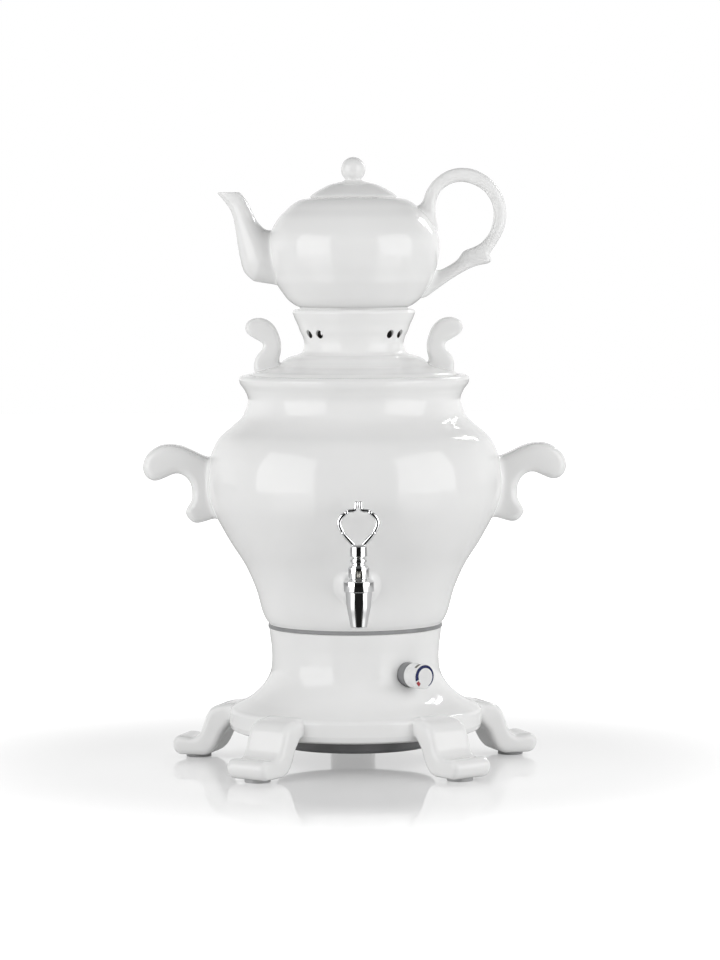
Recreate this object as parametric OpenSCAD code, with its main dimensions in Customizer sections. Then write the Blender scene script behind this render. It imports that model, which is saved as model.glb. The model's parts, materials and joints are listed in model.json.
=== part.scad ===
// Electric porcelain samovar with a teapot on its crown.
// Millimetres, +Z up, +X to the right of someone who faces the tap.
// The origin is on the vessel's axis, on the table that the feet stand on.

/* [Stack heights] */
// Thickness of the rubber pad under each toe
pad_t = 3; // [2:0.5:5]
// Height of the base's lower edge above the table
base_z = 26.5; // [24:0.5:29]
// Height of the porcelain base, from its lower edge to the seam
base_h = 81; // [78:0.5:86]
// Thickness of the grey gasket in the seam
gasket_t = 3; // [2:0.5:4]
// Height of the vessel, from the seam to the top of its rim
body_h = 196; // [188:1:206]
// Depth of the lid's seat below the top of the rim
lid_seat_depth = 4.5; // [3.5:0.5:6]
// Height of the lid, from its seat to the top of the crown
lid_h = 56; // [53:0.5:60]
// Depth of the teapot's seat below the top of the crown
pot_seat_depth = 4; // [3:0.5:5]
// Height of the teapot, from its foot to its mouth
pot_h = 91; // [86:1:97]
// Height of the teapot's lid, from the mouth to the top of the knob
pot_lid_h = 32; // [30:0.5:36]

/* [Vessel] */
// Radius of the belly, outside
belly_r = 116; // [112:0.5:121]
// Radius of the neck below the rim, outside
neck_r = 83.8; // [81:0.2:87]
// Radius of the rim, outside
rim_r = 90.6; // [89:0.2:94]
// Radius of the vessel at the seam, outside
seam_r = 68.4; // [66:0.2:70]
// Wall of the vessel
body_wall = 6; // [5:0.5:7]
// Radius of the opening that the heater plate closes
heater_hole_r = 50; // [48:0.5:52]
// Thickness of the vessel's floor
floor_t = 7.5; // [6:0.5:9]

/* [Base] */
// Radius of the base at its waist, outside
waist_r = 65.7; // [64:0.2:67]
// Radius of the base's flange, outside
flange_r = 99.5; // [97:0.5:102]
// Height of the flange's upright edge
flange_h = 15; // [13:0.5:17]
// Wall of the base
base_wall = 6.5; // [5.5:0.5:7.5]
// Radius of the grey bottom cover
cover_r = 63; // [61:0.5:68]
// Depth of the bottom cover below the base
cover_drop = 12; // [10:0.5:14]

/* [Feet] */
// How far a toe reaches out from the flange
foot_l = 48.5; // [45:0.5:52]
// Width of a foot
foot_w = 36.5; // [33:0.5:39]
// Thickness of a foot's slab
foot_t = 14.8; // [13:0.2:16]
// Rounding of a foot's edges
foot_edge_r = 3.5; // [2.5:0.5:4.5]
// Radius of the rubber pad under each toe
pad_r = 10; // [9:0.5:12]

/* [Handles] */
// Reach of each side handle from the vessel's axis
handle_reach = 166.5; // [163:0.5:171]
// Width of each side handle, front to back
handle_w = 28; // [25:0.5:31]
// Rounding of the side handles' edges
handle_edge_r = 5.2; // [4.6:0.2:5.4]
// Height of the side handles' lower end above the seam
handle_low = 84; // [80:0.5:88]
// Width of each lid handle, front to back
lid_handle_w = 13; // [11:0.5:15]
// Rounding of the lid handles' edges
lid_handle_edge_r = 2.6; // [2:0.2:3.2]

/* [Lid] */
// Radius of the lid's disc
lid_r = 80.6; // [79:0.2:82]
// Thickness of the lid's disc at its edge
lid_edge_h = 7; // [6:0.5:8]
// Radius of the lid's waist below the crown, outside
lid_waist_r = 39.2; // [37:0.2:41]
// Radius of the crown that carries the teapot, outside
crown_r = 48.3; // [47:0.1:50]
// Wall of the lid
lid_wall = 5; // [4:0.5:5.5]
// Diameter of each steam vent
vent_d = 6.5; // [5:0.5:7]
// Height of the steam vents above the lid's seat
vent_h = 37; // [35:0.5:39]

/* [Teapot] */
// Radius of the teapot's belly, outside
pot_r = 67.6; // [65:0.2:70]
// Radius of the teapot's foot, outside
pot_foot_r = 42.6; // [41:0.2:43]
// Wall of the teapot
pot_wall = 4; // [3.5:0.5:5]
// Radius of the teapot's mouth
mouth_r = 30; // [28:0.5:31.5]
// Radius of the teapot lid's edge
pot_lid_r = 34; // [33:0.5:35]
// Radius of the knob on the teapot's lid
pot_knob_r = 9.6; // [8.5:0.1:10.5]
// Reach of the spout's lip from the axis
spout_reach = 107; // [103:0.5:111]
// Wall of the spout
spout_wall = 2.6; // [2:0.2:3]
// Diameter of each strainer hole behind the spout
strainer_d = 4.5; // [4:0.5:5]
// Reach of the teapot's handle from the axis
pot_handle_reach = 120; // [117:0.5:124]
// Width of the teapot's handle, front to back
pot_handle_w = 12.5; // [11:0.5:14]
// Rounding of the teapot handle's edges
pot_handle_edge_r = 3.8; // [3:0.2:4.2]

/* [Tap] */
// Distance of the tap's upright axis from the vessel's axis
tap_y = 129.5; // [126:0.5:134]
// Height of the tap's inlet pipe above the seam
tap_above_seam = 38; // [36:0.5:40]
// Radius of the tap's collar
tap_collar_r = 11.6; // [11:0.2:12.4]
// Radius of the nozzle at its tip
nozzle_tip_r = 6.4; // [6:0.2:7]
// Radius of the bore in the nozzle
nozzle_bore_r = 4.2; // [3.6:0.2:4.8]
// Length of the nozzle below the inlet pipe's axis
nozzle_l = 28.5; // [26:0.5:30]
// Radius of the inlet pipe
pipe_r = 6.5; // [6:0.1:7]
// Radius of the bore in the inlet pipe
pipe_bore_r = 4; // [3.4:0.2:4.4]
// Width of the open loop on the tap's key
loop_w = 32.6; // [30:0.2:36]
// Diameter of the loop's rod
loop_rod_d = 3.6; // [3:0.2:4]

/* [Control knob] */
// Direction of the control knob, measured from the front
knob_angle = 36; // [32:1:40]
// Height of the control knob's axis above the base's lower edge
knob_above_base = 49; // [46:0.5:52]
// Radius of the control knob
knob_r = 9.8; // [9:0.1:10.5]
// Length of the control knob
knob_l = 16; // [14:0.5:18]

/* [Hidden] */
$fn = 96;

porcelain = [0.96, 0.96, 0.95];
steel = [0.72, 0.73, 0.75];
chromed = [0.86, 0.87, 0.88];
grey_rubber = [0.45, 0.46, 0.47];
dark_grey = [0.25, 0.26, 0.28];
brass_tone = [0.75, 0.62, 0.35];

// Gaps
bond_gap = 0.25;
part_gap = 0.3;
run_gap = 0.05;
eps = 0.01;

// Heights of the stack
base_top_z = base_z + base_h;
seam_z = base_top_z + gasket_t;
rim_z = seam_z + body_h;
lid_z = rim_z - lid_seat_depth;
crown_z = lid_z + lid_h;
pot_z = crown_z - pot_seat_depth;
mouth_z = pot_z + pot_h;

// ---------- drawing helpers ----------

function blend(a, b, share) = a + (b - a) * share;

// Points round an arc, for turned profiles
function arc(centre, r, from, to, steps) =
    [for (i = [0:steps]) let (t = blend(from, to, i / steps)) centre + r * [cos(t), sin(t)]];

// A smooth curve (Catmull-Rom) through stations, with some steps between each pair
function spline_point(a, b, c, d, t) =
    0.5 * (2 * b + (c - a) * t + (2 * a - 5 * b + 4 * c - d) * t * t
        + (3 * b - a - 3 * c + d) * t * t * t);
function smooth(stations, steps = 3) =
    let (last = len(stations) - 1)
    [
        for (i = [0:last - 1])
            for (k = [0:steps - 1])
                spline_point(stations[max(i - 1, 0)], stations[i], stations[i + 1],
                    stations[min(i + 2, last)], k / steps),
        stations[last],
    ];

// A curve moved sideways to its left by a distance
function beside(curve, distance) =
    let (last = len(curve) - 1)
    [
        for (i = [0:last])
            let (along = curve[min(i + 1, last)] - curve[max(i - 1, 0)])
            curve[i] + distance * [-along[1], along[0]] / norm(along),
    ];

function backwards(list) = [for (i = [len(list) - 1:-1:0]) list[i]];
function inner_points(list) = [for (i = [1:len(list) - 2]) list[i]];

// The radius of a profile at a height, and its points between two heights
function profile_r(profile, z) = lookup(z, [for (p = profile) [p[1], p[0]]]);
function profile_part(profile, low, high, gap) =
    [
        [profile_r(profile, low) + gap, low],
        for (p = profile) if (p[1] > low + 0.8 && p[1] < high - 0.8) [p[0] + gap, p[1]],
        [profile_r(profile, high) + gap, high],
    ];

// Puts children at an azimuth, which is counted from the front
module at_azimuth(angle) {
    rotate([0, 0, angle]) children();
}

// Turns children from +Z to point outward at the front
module outward() {
    rotate([90, 0, 0]) children();
}

// ---------- slabs with rounded edges ----------

// Triangles that fill a loop, cut off one ear at a time, the fullest first
function turn_at(a, b, c) = (b[0] - a[0]) * (c[1] - a[1]) - (b[1] - a[1]) * (c[0] - a[0]);
function fullness(a, b, c) = turn_at(a, b, c) / pow(max(norm(b - a), norm(c - b), norm(a - c)), 2);
function ear_fullness(loop, left, k) =
    let (
        n = len(left),
        a = loop[left[(k + n - 1) % n]],
        b = loop[left[k]],
        c = loop[left[(k + 1) % n]],
        inside = turn_at(a, b, c) <= 0 ? [0] : [
            for (j = [2:n - 2])
                let (p = loop[left[(k + j) % n]])
                if (turn_at(a, b, p) >= 0 && turn_at(b, c, p) >= 0 && turn_at(c, a, p) >= 0) j
        ]
    )
    len(inside) > 0 ? 0 : fullness(a, b, c);
function ears(loop, left) =
    let (n = len(left))
    n == 3 ? [left] : let (
        found = [for (k = [0:n - 1]) ear_fullness(loop, left, k)],
        k = search(max(found), found)[0]
    ) concat(
        [[left[(k + n - 1) % n], left[k], left[(k + 1) % n]]],
        ears(loop, [for (j = [0:n - 1]) if (j != k) left[j]])
    );

// A run without the points that lie on the line between their neighbours
least_bend = 0.002;
function thinned(run) = [
    for (i = [0:len(run) - 1])
        if (i == 0 || i == len(run) - 1
            || abs(fullness(run[i - 1], run[i], run[i + 1])) > least_bend) run[i]
];

// The move that takes point i of a loop inward by the inset of its two edges
function edge_side(loop, i) =
    let (d = loop[(i + 1) % len(loop)] - loop[i % len(loop)]) [d[1], -d[0]] / norm(d);
function inset_move(loop, i, before, after) =
    let (
        n1 = edge_side(loop, i + len(loop) - 1),
        n2 = edge_side(loop, i),
        turn = n1[0] * n2[1] - n1[1] * n2[0]
    )
    abs(turn) < 0.02
        ? -(n1 * before + n2 * after) / norm(n1 + n2)
        : [after * n1[1] - before * n2[1], before * n2[0] - after * n1[0]] / turn;

// How far an edge of a loop can move inward before its two ends meet, less a reserve, and the room of a
// point: that of the tightest edge near it, which eases off with the distance from there
inset_share = 0.7;
inset_ease = 0.5;
function edge_room(loop, moves, i) =
    let (
        n = len(loop),
        edge = loop[(i + 1) % n] - loop[i],
        closing = -(moves[(i + 1) % n] - moves[i]) * edge / norm(edge)
    )
    closing < 0.001 ? 1000 : inset_share * norm(edge) / closing;
function room_at(loop, rooms, i) =
    min([
        for (j = [0:len(loop) - 1])
            rooms[j] + inset_ease * min(norm(loop[j] - loop[i]), norm(loop[(j + 1) % len(loop)] - loop[i])),
    ]);

// A slab of a width with rounded edges, drawn anticlockwise in X and Z. Its loop is made of
// runs of points: a free run, then a seat, and so on. A seat lies on what carries the slab,
// from its first point to its last, and stays sharp.
module slab(full_runs, width, edge_r, steps = 2) {
    runs = [for (run = full_runs) thinned(run)];
    loop = [for (run = runs) each run];
    count = len(loop);
    on_seat = [
        for (k = [0:len(runs) - 1])
            for (i = [0:len(runs[k]) - 1])
                k % 2 == 1 && i < len(runs[k]) - 1,
    ];
    moves = [
        for (i = [0:count - 1])
            inset_move(loop, i, on_seat[(i + count - 1) % count] ? 0 : 1, on_seat[i] ? 0 : 1),
    ];
    edge_rooms = [for (i = [0:count - 1]) edge_room(loop, moves, i)];
    insets = [for (i = [0:count - 1]) min(edge_r, room_at(loop, edge_rooms, i))];
    angles = [for (k = [0:steps]) 90 * k / steps];
    layers = [
        for (a = angles) [edge_r * (1 - cos(a)) - width / 2, 1 - sin(a)],
        for (a = backwards(angles)) [width / 2 - edge_r * (1 - cos(a)), 1 - sin(a)],
    ];
    outlines = [
        for (layer = layers) [for (i = [0:count - 1]) loop[i] + moves[i] * insets[i] * layer[1]],
    ];
    points = [for (k = [0:len(layers) - 1]) for (p = outlines[k]) [p[0], layers[k][0], p[1]]];
    cap = ears(outlines[0], [for (i = [0:count - 1]) i]);
    top = (len(layers) - 1) * count;
    polyhedron(points, faces = concat(
        [for (k = [0:len(layers) - 2]) for (i = [0:count - 1])
            let (a = k * count + i, b = k * count + (i + 1) % count)
            each [[a, b, b + count], [a, b + count, a + count]]],
        [for (f = cap) [f[2], f[1], f[0]]],
        [for (f = cap) f + [top, top, top]]
    ), convexity = 8);
}

// A skin over rings with equal numbers of points, closed on itself both ways
module ring_skin(rings) {
    count = len(rings[0]);
    total = len(rings);
    polyhedron([for (ring = rings) each ring], faces = [
        for (k = [0:total - 1]) for (i = [0:count - 1])
            let (
                a = k * count + i,
                b = k * count + (i + 1) % count,
                c = (k + 1) % total * count + (i + 1) % count,
                d = (k + 1) % total * count + i
            )
            each [[a, d, c], [a, c, b]]
    ], convexity = 6);
}

// ---------- vessel ----------

// The outside of the vessel, from the seam up to the rim
belly_share = 0.57;
belly_z = seam_z + belly_share * body_h;
neck_z = rim_z - 19.5;
body_outside = smooth([
    [seam_r, seam_z + 1],
    [seam_r + 2.3, seam_z + 4.2],
    for (s = [[0.09, 0.10], [0.19, 0.25], [0.37, 0.42], [0.62, 0.585], [0.85, 0.76], [0.965, 0.88]])
        [blend(seam_r + 1, belly_r, s[0]), blend(seam_z, belly_z, s[1])],
    [belly_r, belly_z],
    for (s = [[0.04, 0.23], [0.13, 0.39], [0.31, 0.55], [0.62, 0.685], [0.885, 0.82]])
        [blend(belly_r, neck_r, s[0]), blend(belly_z, neck_z, s[1])],
    [neck_r, neck_z],
    [blend(neck_r, rim_r, 0.3), neck_z + 7],
    [blend(neck_r, rim_r, 0.85), neck_z + 12.5],
    [rim_r, neck_z + 16],
], 3);
body_inside = [
    for (p = beside(body_outside, body_wall))
        if (p[1] > seam_z + floor_t + 3 && p[1] < neck_z + 4) p,
];
rim_land_r = lid_r + 1.2;

// Flat seats for the tap's washers, outside and inside the wall
tap_z = seam_z + tap_above_seam;
tap_seat_r = 15;
tap_seat_y = profile_r(body_outside, tap_z) + 4.5;
tap_washer_r = 11;
tap_inner_y = min(
    profile_r(body_inside, tap_z - tap_washer_r),
    sqrt(pow(profile_r(body_inside, tap_z), 2) - pow(tap_washer_r, 2))
) - bond_gap;
tap_hole_r = pipe_r + 0.8;

module body_shell() {
    color(porcelain) difference() {
        union() {
            rotate_extrude() polygon(concat(
                [[heater_hole_r, seam_z], [seam_r - 2, seam_z]],
                body_outside,
                [[rim_r - 0.6, rim_z - 1.6], [rim_r - 3, rim_z - 0.2], [rim_r - 5, rim_z],
                    [rim_land_r + 1, rim_z - 0.4], [rim_land_r, rim_z - 1.6],
                    [rim_land_r, lid_z], [neck_r - body_wall + 1.5, lid_z]],
                backwards(body_inside),
                [[body_inside[0][0] - 3, seam_z + floor_t], [heater_hole_r, seam_z + floor_t]]
            ));
            intersection() {
                translate([0, 0, tap_z]) outward() cylinder(r = tap_seat_r, h = tap_seat_y);
                difference() {
                    translate([0, 0, tap_z - 2 * tap_seat_r])
                        cylinder(r = tap_seat_y + tap_seat_r, h = 4 * tap_seat_r);
                    translate([-3 * tap_seat_r, -tap_inner_y, tap_z - 3 * tap_seat_r])
                        cube([6 * tap_seat_r, 2 * tap_seat_y, 6 * tap_seat_r]);
                }
            }
        }
        translate([0, -tap_seat_y, tap_z]) outward() cylinder(r = tap_seat_r, h = 30);
        translate([0, 0, tap_z]) outward() cylinder(r = tap_hole_r, h = tap_seat_y + 5);
    }
}

// A side handle: an S that reaches out at the top and curls in below
handle_low_z = seam_z + handle_low;
handle_high_z = handle_low_z + 47;
module side_handle() {
    reach = handle_reach - belly_r;
    free = smooth([
        for (p = [
            [-0.10, 0.0], [0.13, -3.6], [0.24, -2.6], [0.32, 2.2], [0.33, 6.0], [0.255, 12.0],
            [0.225, 19], [0.25, 27], [0.335, 33.0], [0.47, 35.8], [0.60, 33.4], [0.72, 30.8], [0.82, 29.6],
            [0.94, 32.6], [1.0, 40.5], [0.93, 50.0], [0.74, 56.7], [0.55, 57.8], [0.36, 55.9],
            [0.14, 50.6], [-0.052, 46.4],
        ])
            [belly_r + reach * p[0], handle_low_z + p[1]],
    ], 2);
    seat = backwards(profile_part(body_outside, free[0][1], free[len(free) - 1][1], bond_gap));
    color(porcelain) slab([inner_points(free), seat], handle_w, handle_edge_r);
}
module side_handle_right() {
    side_handle();
}
module side_handle_left() {
    mirror([1, 0, 0]) side_handle();
}

module seam_gasket() {
    color(grey_rubber) translate([0, 0, base_top_z]) difference() {
        cylinder(r = seam_r + 0.2, h = gasket_t);
        translate([0, 0, -eps]) cylinder(r = heater_hole_r + 8, h = gasket_t + 2 * eps);
    }
}

// ---------- base ----------

flange_top_z = base_z + flange_h;
base_outside = smooth([
    [flange_r, flange_top_z],
    [flange_r - 1.6, flange_top_z + 2.6],
    [flange_r - 5.5, flange_top_z + 4.6],
    [blend(flange_r, waist_r, 0.45), flange_top_z + 9.8],
    [blend(flange_r, waist_r, 0.68), flange_top_z + 16.2],
    [blend(flange_r, waist_r, 0.84), flange_top_z + 22.8],
    [blend(flange_r, waist_r, 0.955), flange_top_z + 30.7],
    [waist_r + 0.2, flange_top_z + 39.5],
    [waist_r + 0.4, base_top_z - 16],
    [waist_r + 1.4, base_top_z - 8],
    [waist_r + 2.1, base_top_z - 2],
], 3);
base_inside = [
    for (p = beside(base_outside, base_wall))
        if (p[1] > flange_top_z && p[1] < base_top_z - 9) p,
];
base_floor_r = cover_r - 12;
knob_z = base_z + knob_above_base;
spindle_hole_r = 5.4;
inlet_angle = 180;
inlet_z = base_z + 49.5;
inlet_w = 28;
inlet_h = 20.5;

module base_shell() {
    color(porcelain) difference() {
        rotate_extrude() polygon(concat(
            [[base_floor_r, base_z], [flange_r - 4, base_z], [flange_r - 1.2, base_z + 1.4],
                [flange_r, base_z + 4.5]],
            base_outside,
            [[waist_r + 1, base_top_z], [heater_hole_r + 6, base_top_z],
                [heater_hole_r + 6, base_top_z - 7]],
            backwards(base_inside),
            [[flange_r - base_wall, flange_top_z - 2], [flange_r - base_wall, base_z + base_wall],
                [base_floor_r, base_z + base_wall]]
        ));
        at_azimuth(knob_angle) translate([0, 0, knob_z])
            outward() cylinder(r = spindle_hole_r, h = flange_r);
        at_azimuth(knob_angle) translate([0, -knob_seat_y, knob_z])
            outward() cylinder(r = collar_r + 0.6, h = 20);
        at_azimuth(inlet_angle)
            translate([-inlet_w / 2 - part_gap, -flange_r, inlet_z - inlet_h / 2 - part_gap])
            cube([inlet_w + 2 * part_gap, flange_r - 30, inlet_h + 2 * part_gap]);
        at_azimuth(inlet_angle) translate([-inlet_w / 2 - 3, -flange_r, inlet_z - inlet_h / 2 - 3])
            cube([inlet_w + 6, flange_r - inlet_face_y, inlet_h + 6]);
    }
}

module bottom_cover() {
    color(dark_grey) difference() {
        union() {
            translate([0, 0, base_z - cover_drop]) rotate_extrude() polygon([
                [0, 0], [cover_r - 2, 0], [cover_r, 2], [cover_r, cover_drop], [cover_r - 2.2, cover_drop],
                [cover_r - 2.2, 3], [0, 3],
            ]);
            for (a = rod_angles) at_azimuth(a) translate([0, -rod_circle_r, base_z - cover_drop])
                cylinder(r = 6, h = cover_drop);
        }
        for (a = rod_angles) at_azimuth(a) translate([0, -rod_circle_r, base_z - cover_drop - eps]) {
            cylinder(r = rod_r + 0.3, h = cover_drop + 1);
            cylinder(r = 4.9, h = nut_recess + run_gap);
        }
        for (row = [-3:3]) translate([row * 7 - 1.25, -vent_slot_l / 2, base_z - cover_drop - 1])
            cube([2.5, vent_slot_l, 6]);
    }
}
vent_slot_l = 34;

// ---------- feet ----------

foot_angles = [-36, 36, -108, 108, 180];
pad_y = flange_r + foot_l - 6.6 - pad_r;
pad_margin = 0.4;
function along_foot(share) = flange_r + foot_l * share;
module foot(angle) {
    top_z = flange_top_z + 4.6;
    toe_z = pad_t + foot_t;
    underside = smooth([
        [flange_r + bond_gap, base_z + 1],
        [along_foot(0.075), base_z - 1.8],
        [along_foot(0.134), base_z - 6],
        [along_foot(0.183), base_z - 11.5],
        [along_foot(0.252), pad_t + 6.4],
        [along_foot(0.338), pad_t + 2.2],
        [pad_y - pad_r - pad_margin, pad_t],
    ], 2);
    toe_and_top = smooth([
        [pad_y + pad_r + pad_margin, pad_t],
        [along_foot(0.94), pad_t + 1.5],
        [along_foot(0.98), pad_t + 4.4],
        [along_foot(1), pad_t + foot_t * 0.6],
        [along_foot(0.965), toe_z - 2.2],
        [along_foot(0.885), toe_z],
        [along_foot(0.767), toe_z - 0.6],
        [along_foot(0.674), toe_z - 1.1],
        [along_foot(0.58), toe_z + 0.2],
        [along_foot(0.503), toe_z + 4.2],
        [along_foot(0.458), toe_z + 9.6],
        [along_foot(0.42), toe_z + 15],
        [along_foot(0.367), flange_top_z - 3.4],
        [along_foot(0.29), flange_top_z + 0.2],
        [along_foot(0.15), flange_top_z + 2.4],
        [flange_r - 1, flange_top_z + 4],
        [flange_r - 5.5, top_z],
    ], 2);
    seat = concat(
        [[profile_r(backwards(base_outside), top_z) + bond_gap, top_z]],
        [for (p = backwards(base_outside)) if (p[1] < top_z - 0.8) [p[0] + bond_gap, p[1]]],
        [underside[0]]
    );
    color(porcelain) rotate([0, 0, angle - 90])
        slab([inner_points(concat(underside, toe_and_top)), seat], foot_w, foot_edge_r);
}
module foot_pad(angle) {
    color(grey_rubber) at_azimuth(angle) translate([0, -pad_y, 0]) cylinder(r = pad_r, h = pad_t);
}
module foot_front_left() { foot(foot_angles[0]); }
module foot_front_right() { foot(foot_angles[1]); }
module foot_side_left() { foot(foot_angles[2]); }
module foot_side_right() { foot(foot_angles[3]); }
module foot_rear() { foot(foot_angles[4]); }
module foot_pad_front_left() { foot_pad(foot_angles[0]); }
module foot_pad_front_right() { foot_pad(foot_angles[1]); }
module foot_pad_side_left() { foot_pad(foot_angles[2]); }
module foot_pad_side_right() { foot_pad(foot_angles[3]); }
module foot_pad_rear() { foot_pad(foot_angles[4]); }

// ---------- heater and what holds the stack together ----------

seal_t = 1.5;
plate_t = 1.5;
plate_r = heater_hole_r + 9;
floor_z = seam_z + floor_t;
plate_z = floor_z + seal_t;
stud_circle_r = heater_hole_r - 6;
stud_angles = [20, 110, 200, 290];
stud_r = 2.5;
clamp_t = 2.5;
clamp_r = heater_hole_r + 5.5;
clamp_z = seam_z - clamp_t;
nut_h = 4;
rod_r = 2.5;
rod_circle_r = heater_hole_r - 6;
rod_angles = [-20, 75, 245];
nut_recess = 5.5;

module heater_seal() {
    color(grey_rubber) translate([0, 0, floor_z]) difference() {
        cylinder(r = plate_r, h = seal_t);
        translate([0, 0, -eps]) cylinder(r = heater_hole_r + 1, h = seal_t + 2 * eps);
    }
}
module heater_plate() {
    color(steel) {
        translate([0, 0, plate_z]) rotate_extrude() polygon([
            [0, 0], [plate_r, 0], [plate_r, plate_t], [heater_hole_r - 3, plate_t],
            [heater_hole_r - 8, plate_t + 2.5], [0, plate_t + 2.5],
        ]);
        for (a = stud_angles) at_azimuth(a) translate([0, -stud_circle_r, clamp_z - nut_h - 3])
            cylinder(r = stud_r, h = plate_z - clamp_z + nut_h + 3 + eps);
    }
}
element_r = 29;
element_tube_r = 4;
element_z = plate_z - element_tube_r;
element_gap = 15;
cold_end_l = 20;
cold_end_r = 3.4;
cold_end_angle = 23;
module heating_element() {
    color(steel) {
        translate([0, 0, element_z]) rotate([0, 0, element_gap])
            rotate_extrude(angle = 360 - 2 * element_gap)
            translate([element_r, 0]) circle(r = element_tube_r);
        for (side = [-1, 1]) rotate([0, 0, side * cold_end_angle])
            translate([element_r, 0, element_z - cold_end_l]) cylinder(r = cold_end_r, h = cold_end_l);
    }
}
module element_insulators() {
    color("white") for (side = [-1, 1]) rotate([0, 0, side * cold_end_angle])
        translate([element_r, 0, element_z - cold_end_l - 5]) cylinder(r = 3, h = 5);
}
module thermal_cutout() {
    color(dark_grey) translate([0, 0, plate_z]) mirror([0, 0, 1]) {
        cylinder(r = 9, h = 6);
        cylinder(r = 7, h = 11);
        for (s = [-1, 1]) translate([s * 4 - 0.4, -2.5, 10]) cube([0.8, 5, 8]);
    }
}
module clamp_ring() {
    color(steel) difference() {
        translate([0, 0, clamp_z]) cylinder(r = clamp_r, h = clamp_t);
        translate([0, 0, clamp_z - eps]) cylinder(r = heater_hole_r - 12, h = clamp_t + 2 * eps);
        for (a = stud_angles) at_azimuth(a) translate([0, -stud_circle_r, clamp_z - eps])
            cylinder(r = stud_r + 0.3, h = clamp_t + 2 * eps);
        for (a = rod_angles) at_azimuth(a) translate([0, -rod_circle_r, clamp_z - eps])
            cylinder(r = rod_r + 0.3, h = clamp_t + 2 * eps);
    }
}
module hex_nut(bore_r, across, h) {
    difference() {
        cylinder(r = across / 2 / cos(30), h = h, $fn = 6);
        translate([0, 0, -eps]) cylinder(r = bore_r, h = h + 2 * eps);
    }
}
module clamp_nuts() {
    color(steel) for (a = stud_angles) at_azimuth(a)
        translate([0, -stud_circle_r, clamp_z - nut_h]) hex_nut(stud_r + run_gap, 8, nut_h);
}
// Long rods hang from the clamp ring by their heads and draw the base up against the gasket
module tie_rods() {
    low_z = base_z - cover_drop + 0.8;
    color(steel) for (a = rod_angles) at_azimuth(a) translate([0, -rod_circle_r, 0]) {
        translate([0, 0, low_z]) cylinder(r = rod_r, h = seam_z - low_z + 1);
        translate([0, 0, seam_z]) cylinder(r = 4.2, h = 3);
    }
}
module tie_rod_washers() {
    color(steel) for (a = rod_angles) at_azimuth(a)
        translate([0, -rod_circle_r, base_z - cover_drop + nut_recess - 1]) difference() {
            cylinder(r = 4.7, h = 1);
            translate([0, 0, -eps]) cylinder(r = rod_r + 0.2, h = 1 + 2 * eps);
        }
}
module tie_rod_nuts() {
    color(steel) for (a = rod_angles) at_azimuth(a)
        translate([0, -rod_circle_r, base_z - cover_drop + nut_recess - 1 - 3.4])
            hex_nut(rod_r + run_gap, 8, 3.4);
}

// ---------- thermostat and control knob ----------

// Distances along the knob's axis, from the vessel's axis
collar_r = 9.4;
collar_l = 7;
knob_seat_y = profile_r(backwards(base_outside), knob_z) - 1;
knob_wall_y = knob_seat_y - base_wall + 1;
housing_y = knob_wall_y - 3.4;
spindle_r = 3;
bush_r = 4.8;
collar_face_y = knob_seat_y + collar_l + 1;
knob_y = collar_face_y + part_gap;

module at_knob(y) {
    at_azimuth(knob_angle) translate([0, -y, knob_z]) outward() children();
}
module thermostat_housing() {
    color(dark_grey) difference() {
        union() {
            at_knob(housing_y - 20) translate([-15, -13, 0]) cube([30, 26, 20]);
            at_knob(housing_y - 1) cylinder(r = bush_r, h = collar_face_y - 2.4 - housing_y);
        }
        at_knob(housing_y - 8) cylinder(r = spindle_r + run_gap, h = 60);
    }
}
module thermostat_nut() {
    color(steel) at_knob(housing_y + 0.2) difference() {
        cylinder(r = 8, h = 2.2);
        translate([0, 0, -1]) cylinder(r = bush_r + run_gap, h = 5);
    }
}
module thermostat_collar() {
    color(grey_rubber) at_knob(knob_seat_y) difference() {
        union() {
            cylinder(r = collar_r, h = collar_l);
            translate([0, 0, collar_l]) cylinder(r1 = collar_r, r2 = collar_r - 1, h = 1);
        }
        translate([0, 0, -1]) cylinder(r = bush_r + run_gap, h = collar_l + 0.6);
        translate([0, 0, -1]) cylinder(r = spindle_r + 0.4, h = collar_l + 4);
    }
}
module thermostat_spindle() {
    color(brass_tone) at_knob(housing_y - 7.5) cylinder(r = spindle_r, h = knob_y + 10 - housing_y + 7.5);
}
module control_knob() {
    color("white") at_knob(knob_y) difference() {
        rotate_extrude() polygon(concat(
            [[0, 0], [knob_r - 0.8, 0], [knob_r - 0.3, 0.6], [knob_r, knob_l - 2]],
            arc([knob_r - 1.6, knob_l - 1.6], 1.6, 10, 90, 4),
            [[0, knob_l]]
        ));
        translate([0, 0, -1]) cylinder(r = spindle_r + run_gap, h = 11.2);
        translate([-1, knob_r - 1.2, knob_l - 5]) cube([2, 3, 6]);
    }
}
// The thermostat feels the water's heat through a bulb under the heater plate
bulb_r = 3;
bulb_l = 22;
bulb_at = 16.5;
module sensor_bulb() {
    color(brass_tone) rotate([0, 0, 90]) translate([-bulb_l / 2, -bulb_at, plate_z - bulb_r])
        rotate([0, 90, 0])
        cylinder(r = bulb_r, h = bulb_l);
}

// ---------- power inlet ----------

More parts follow.
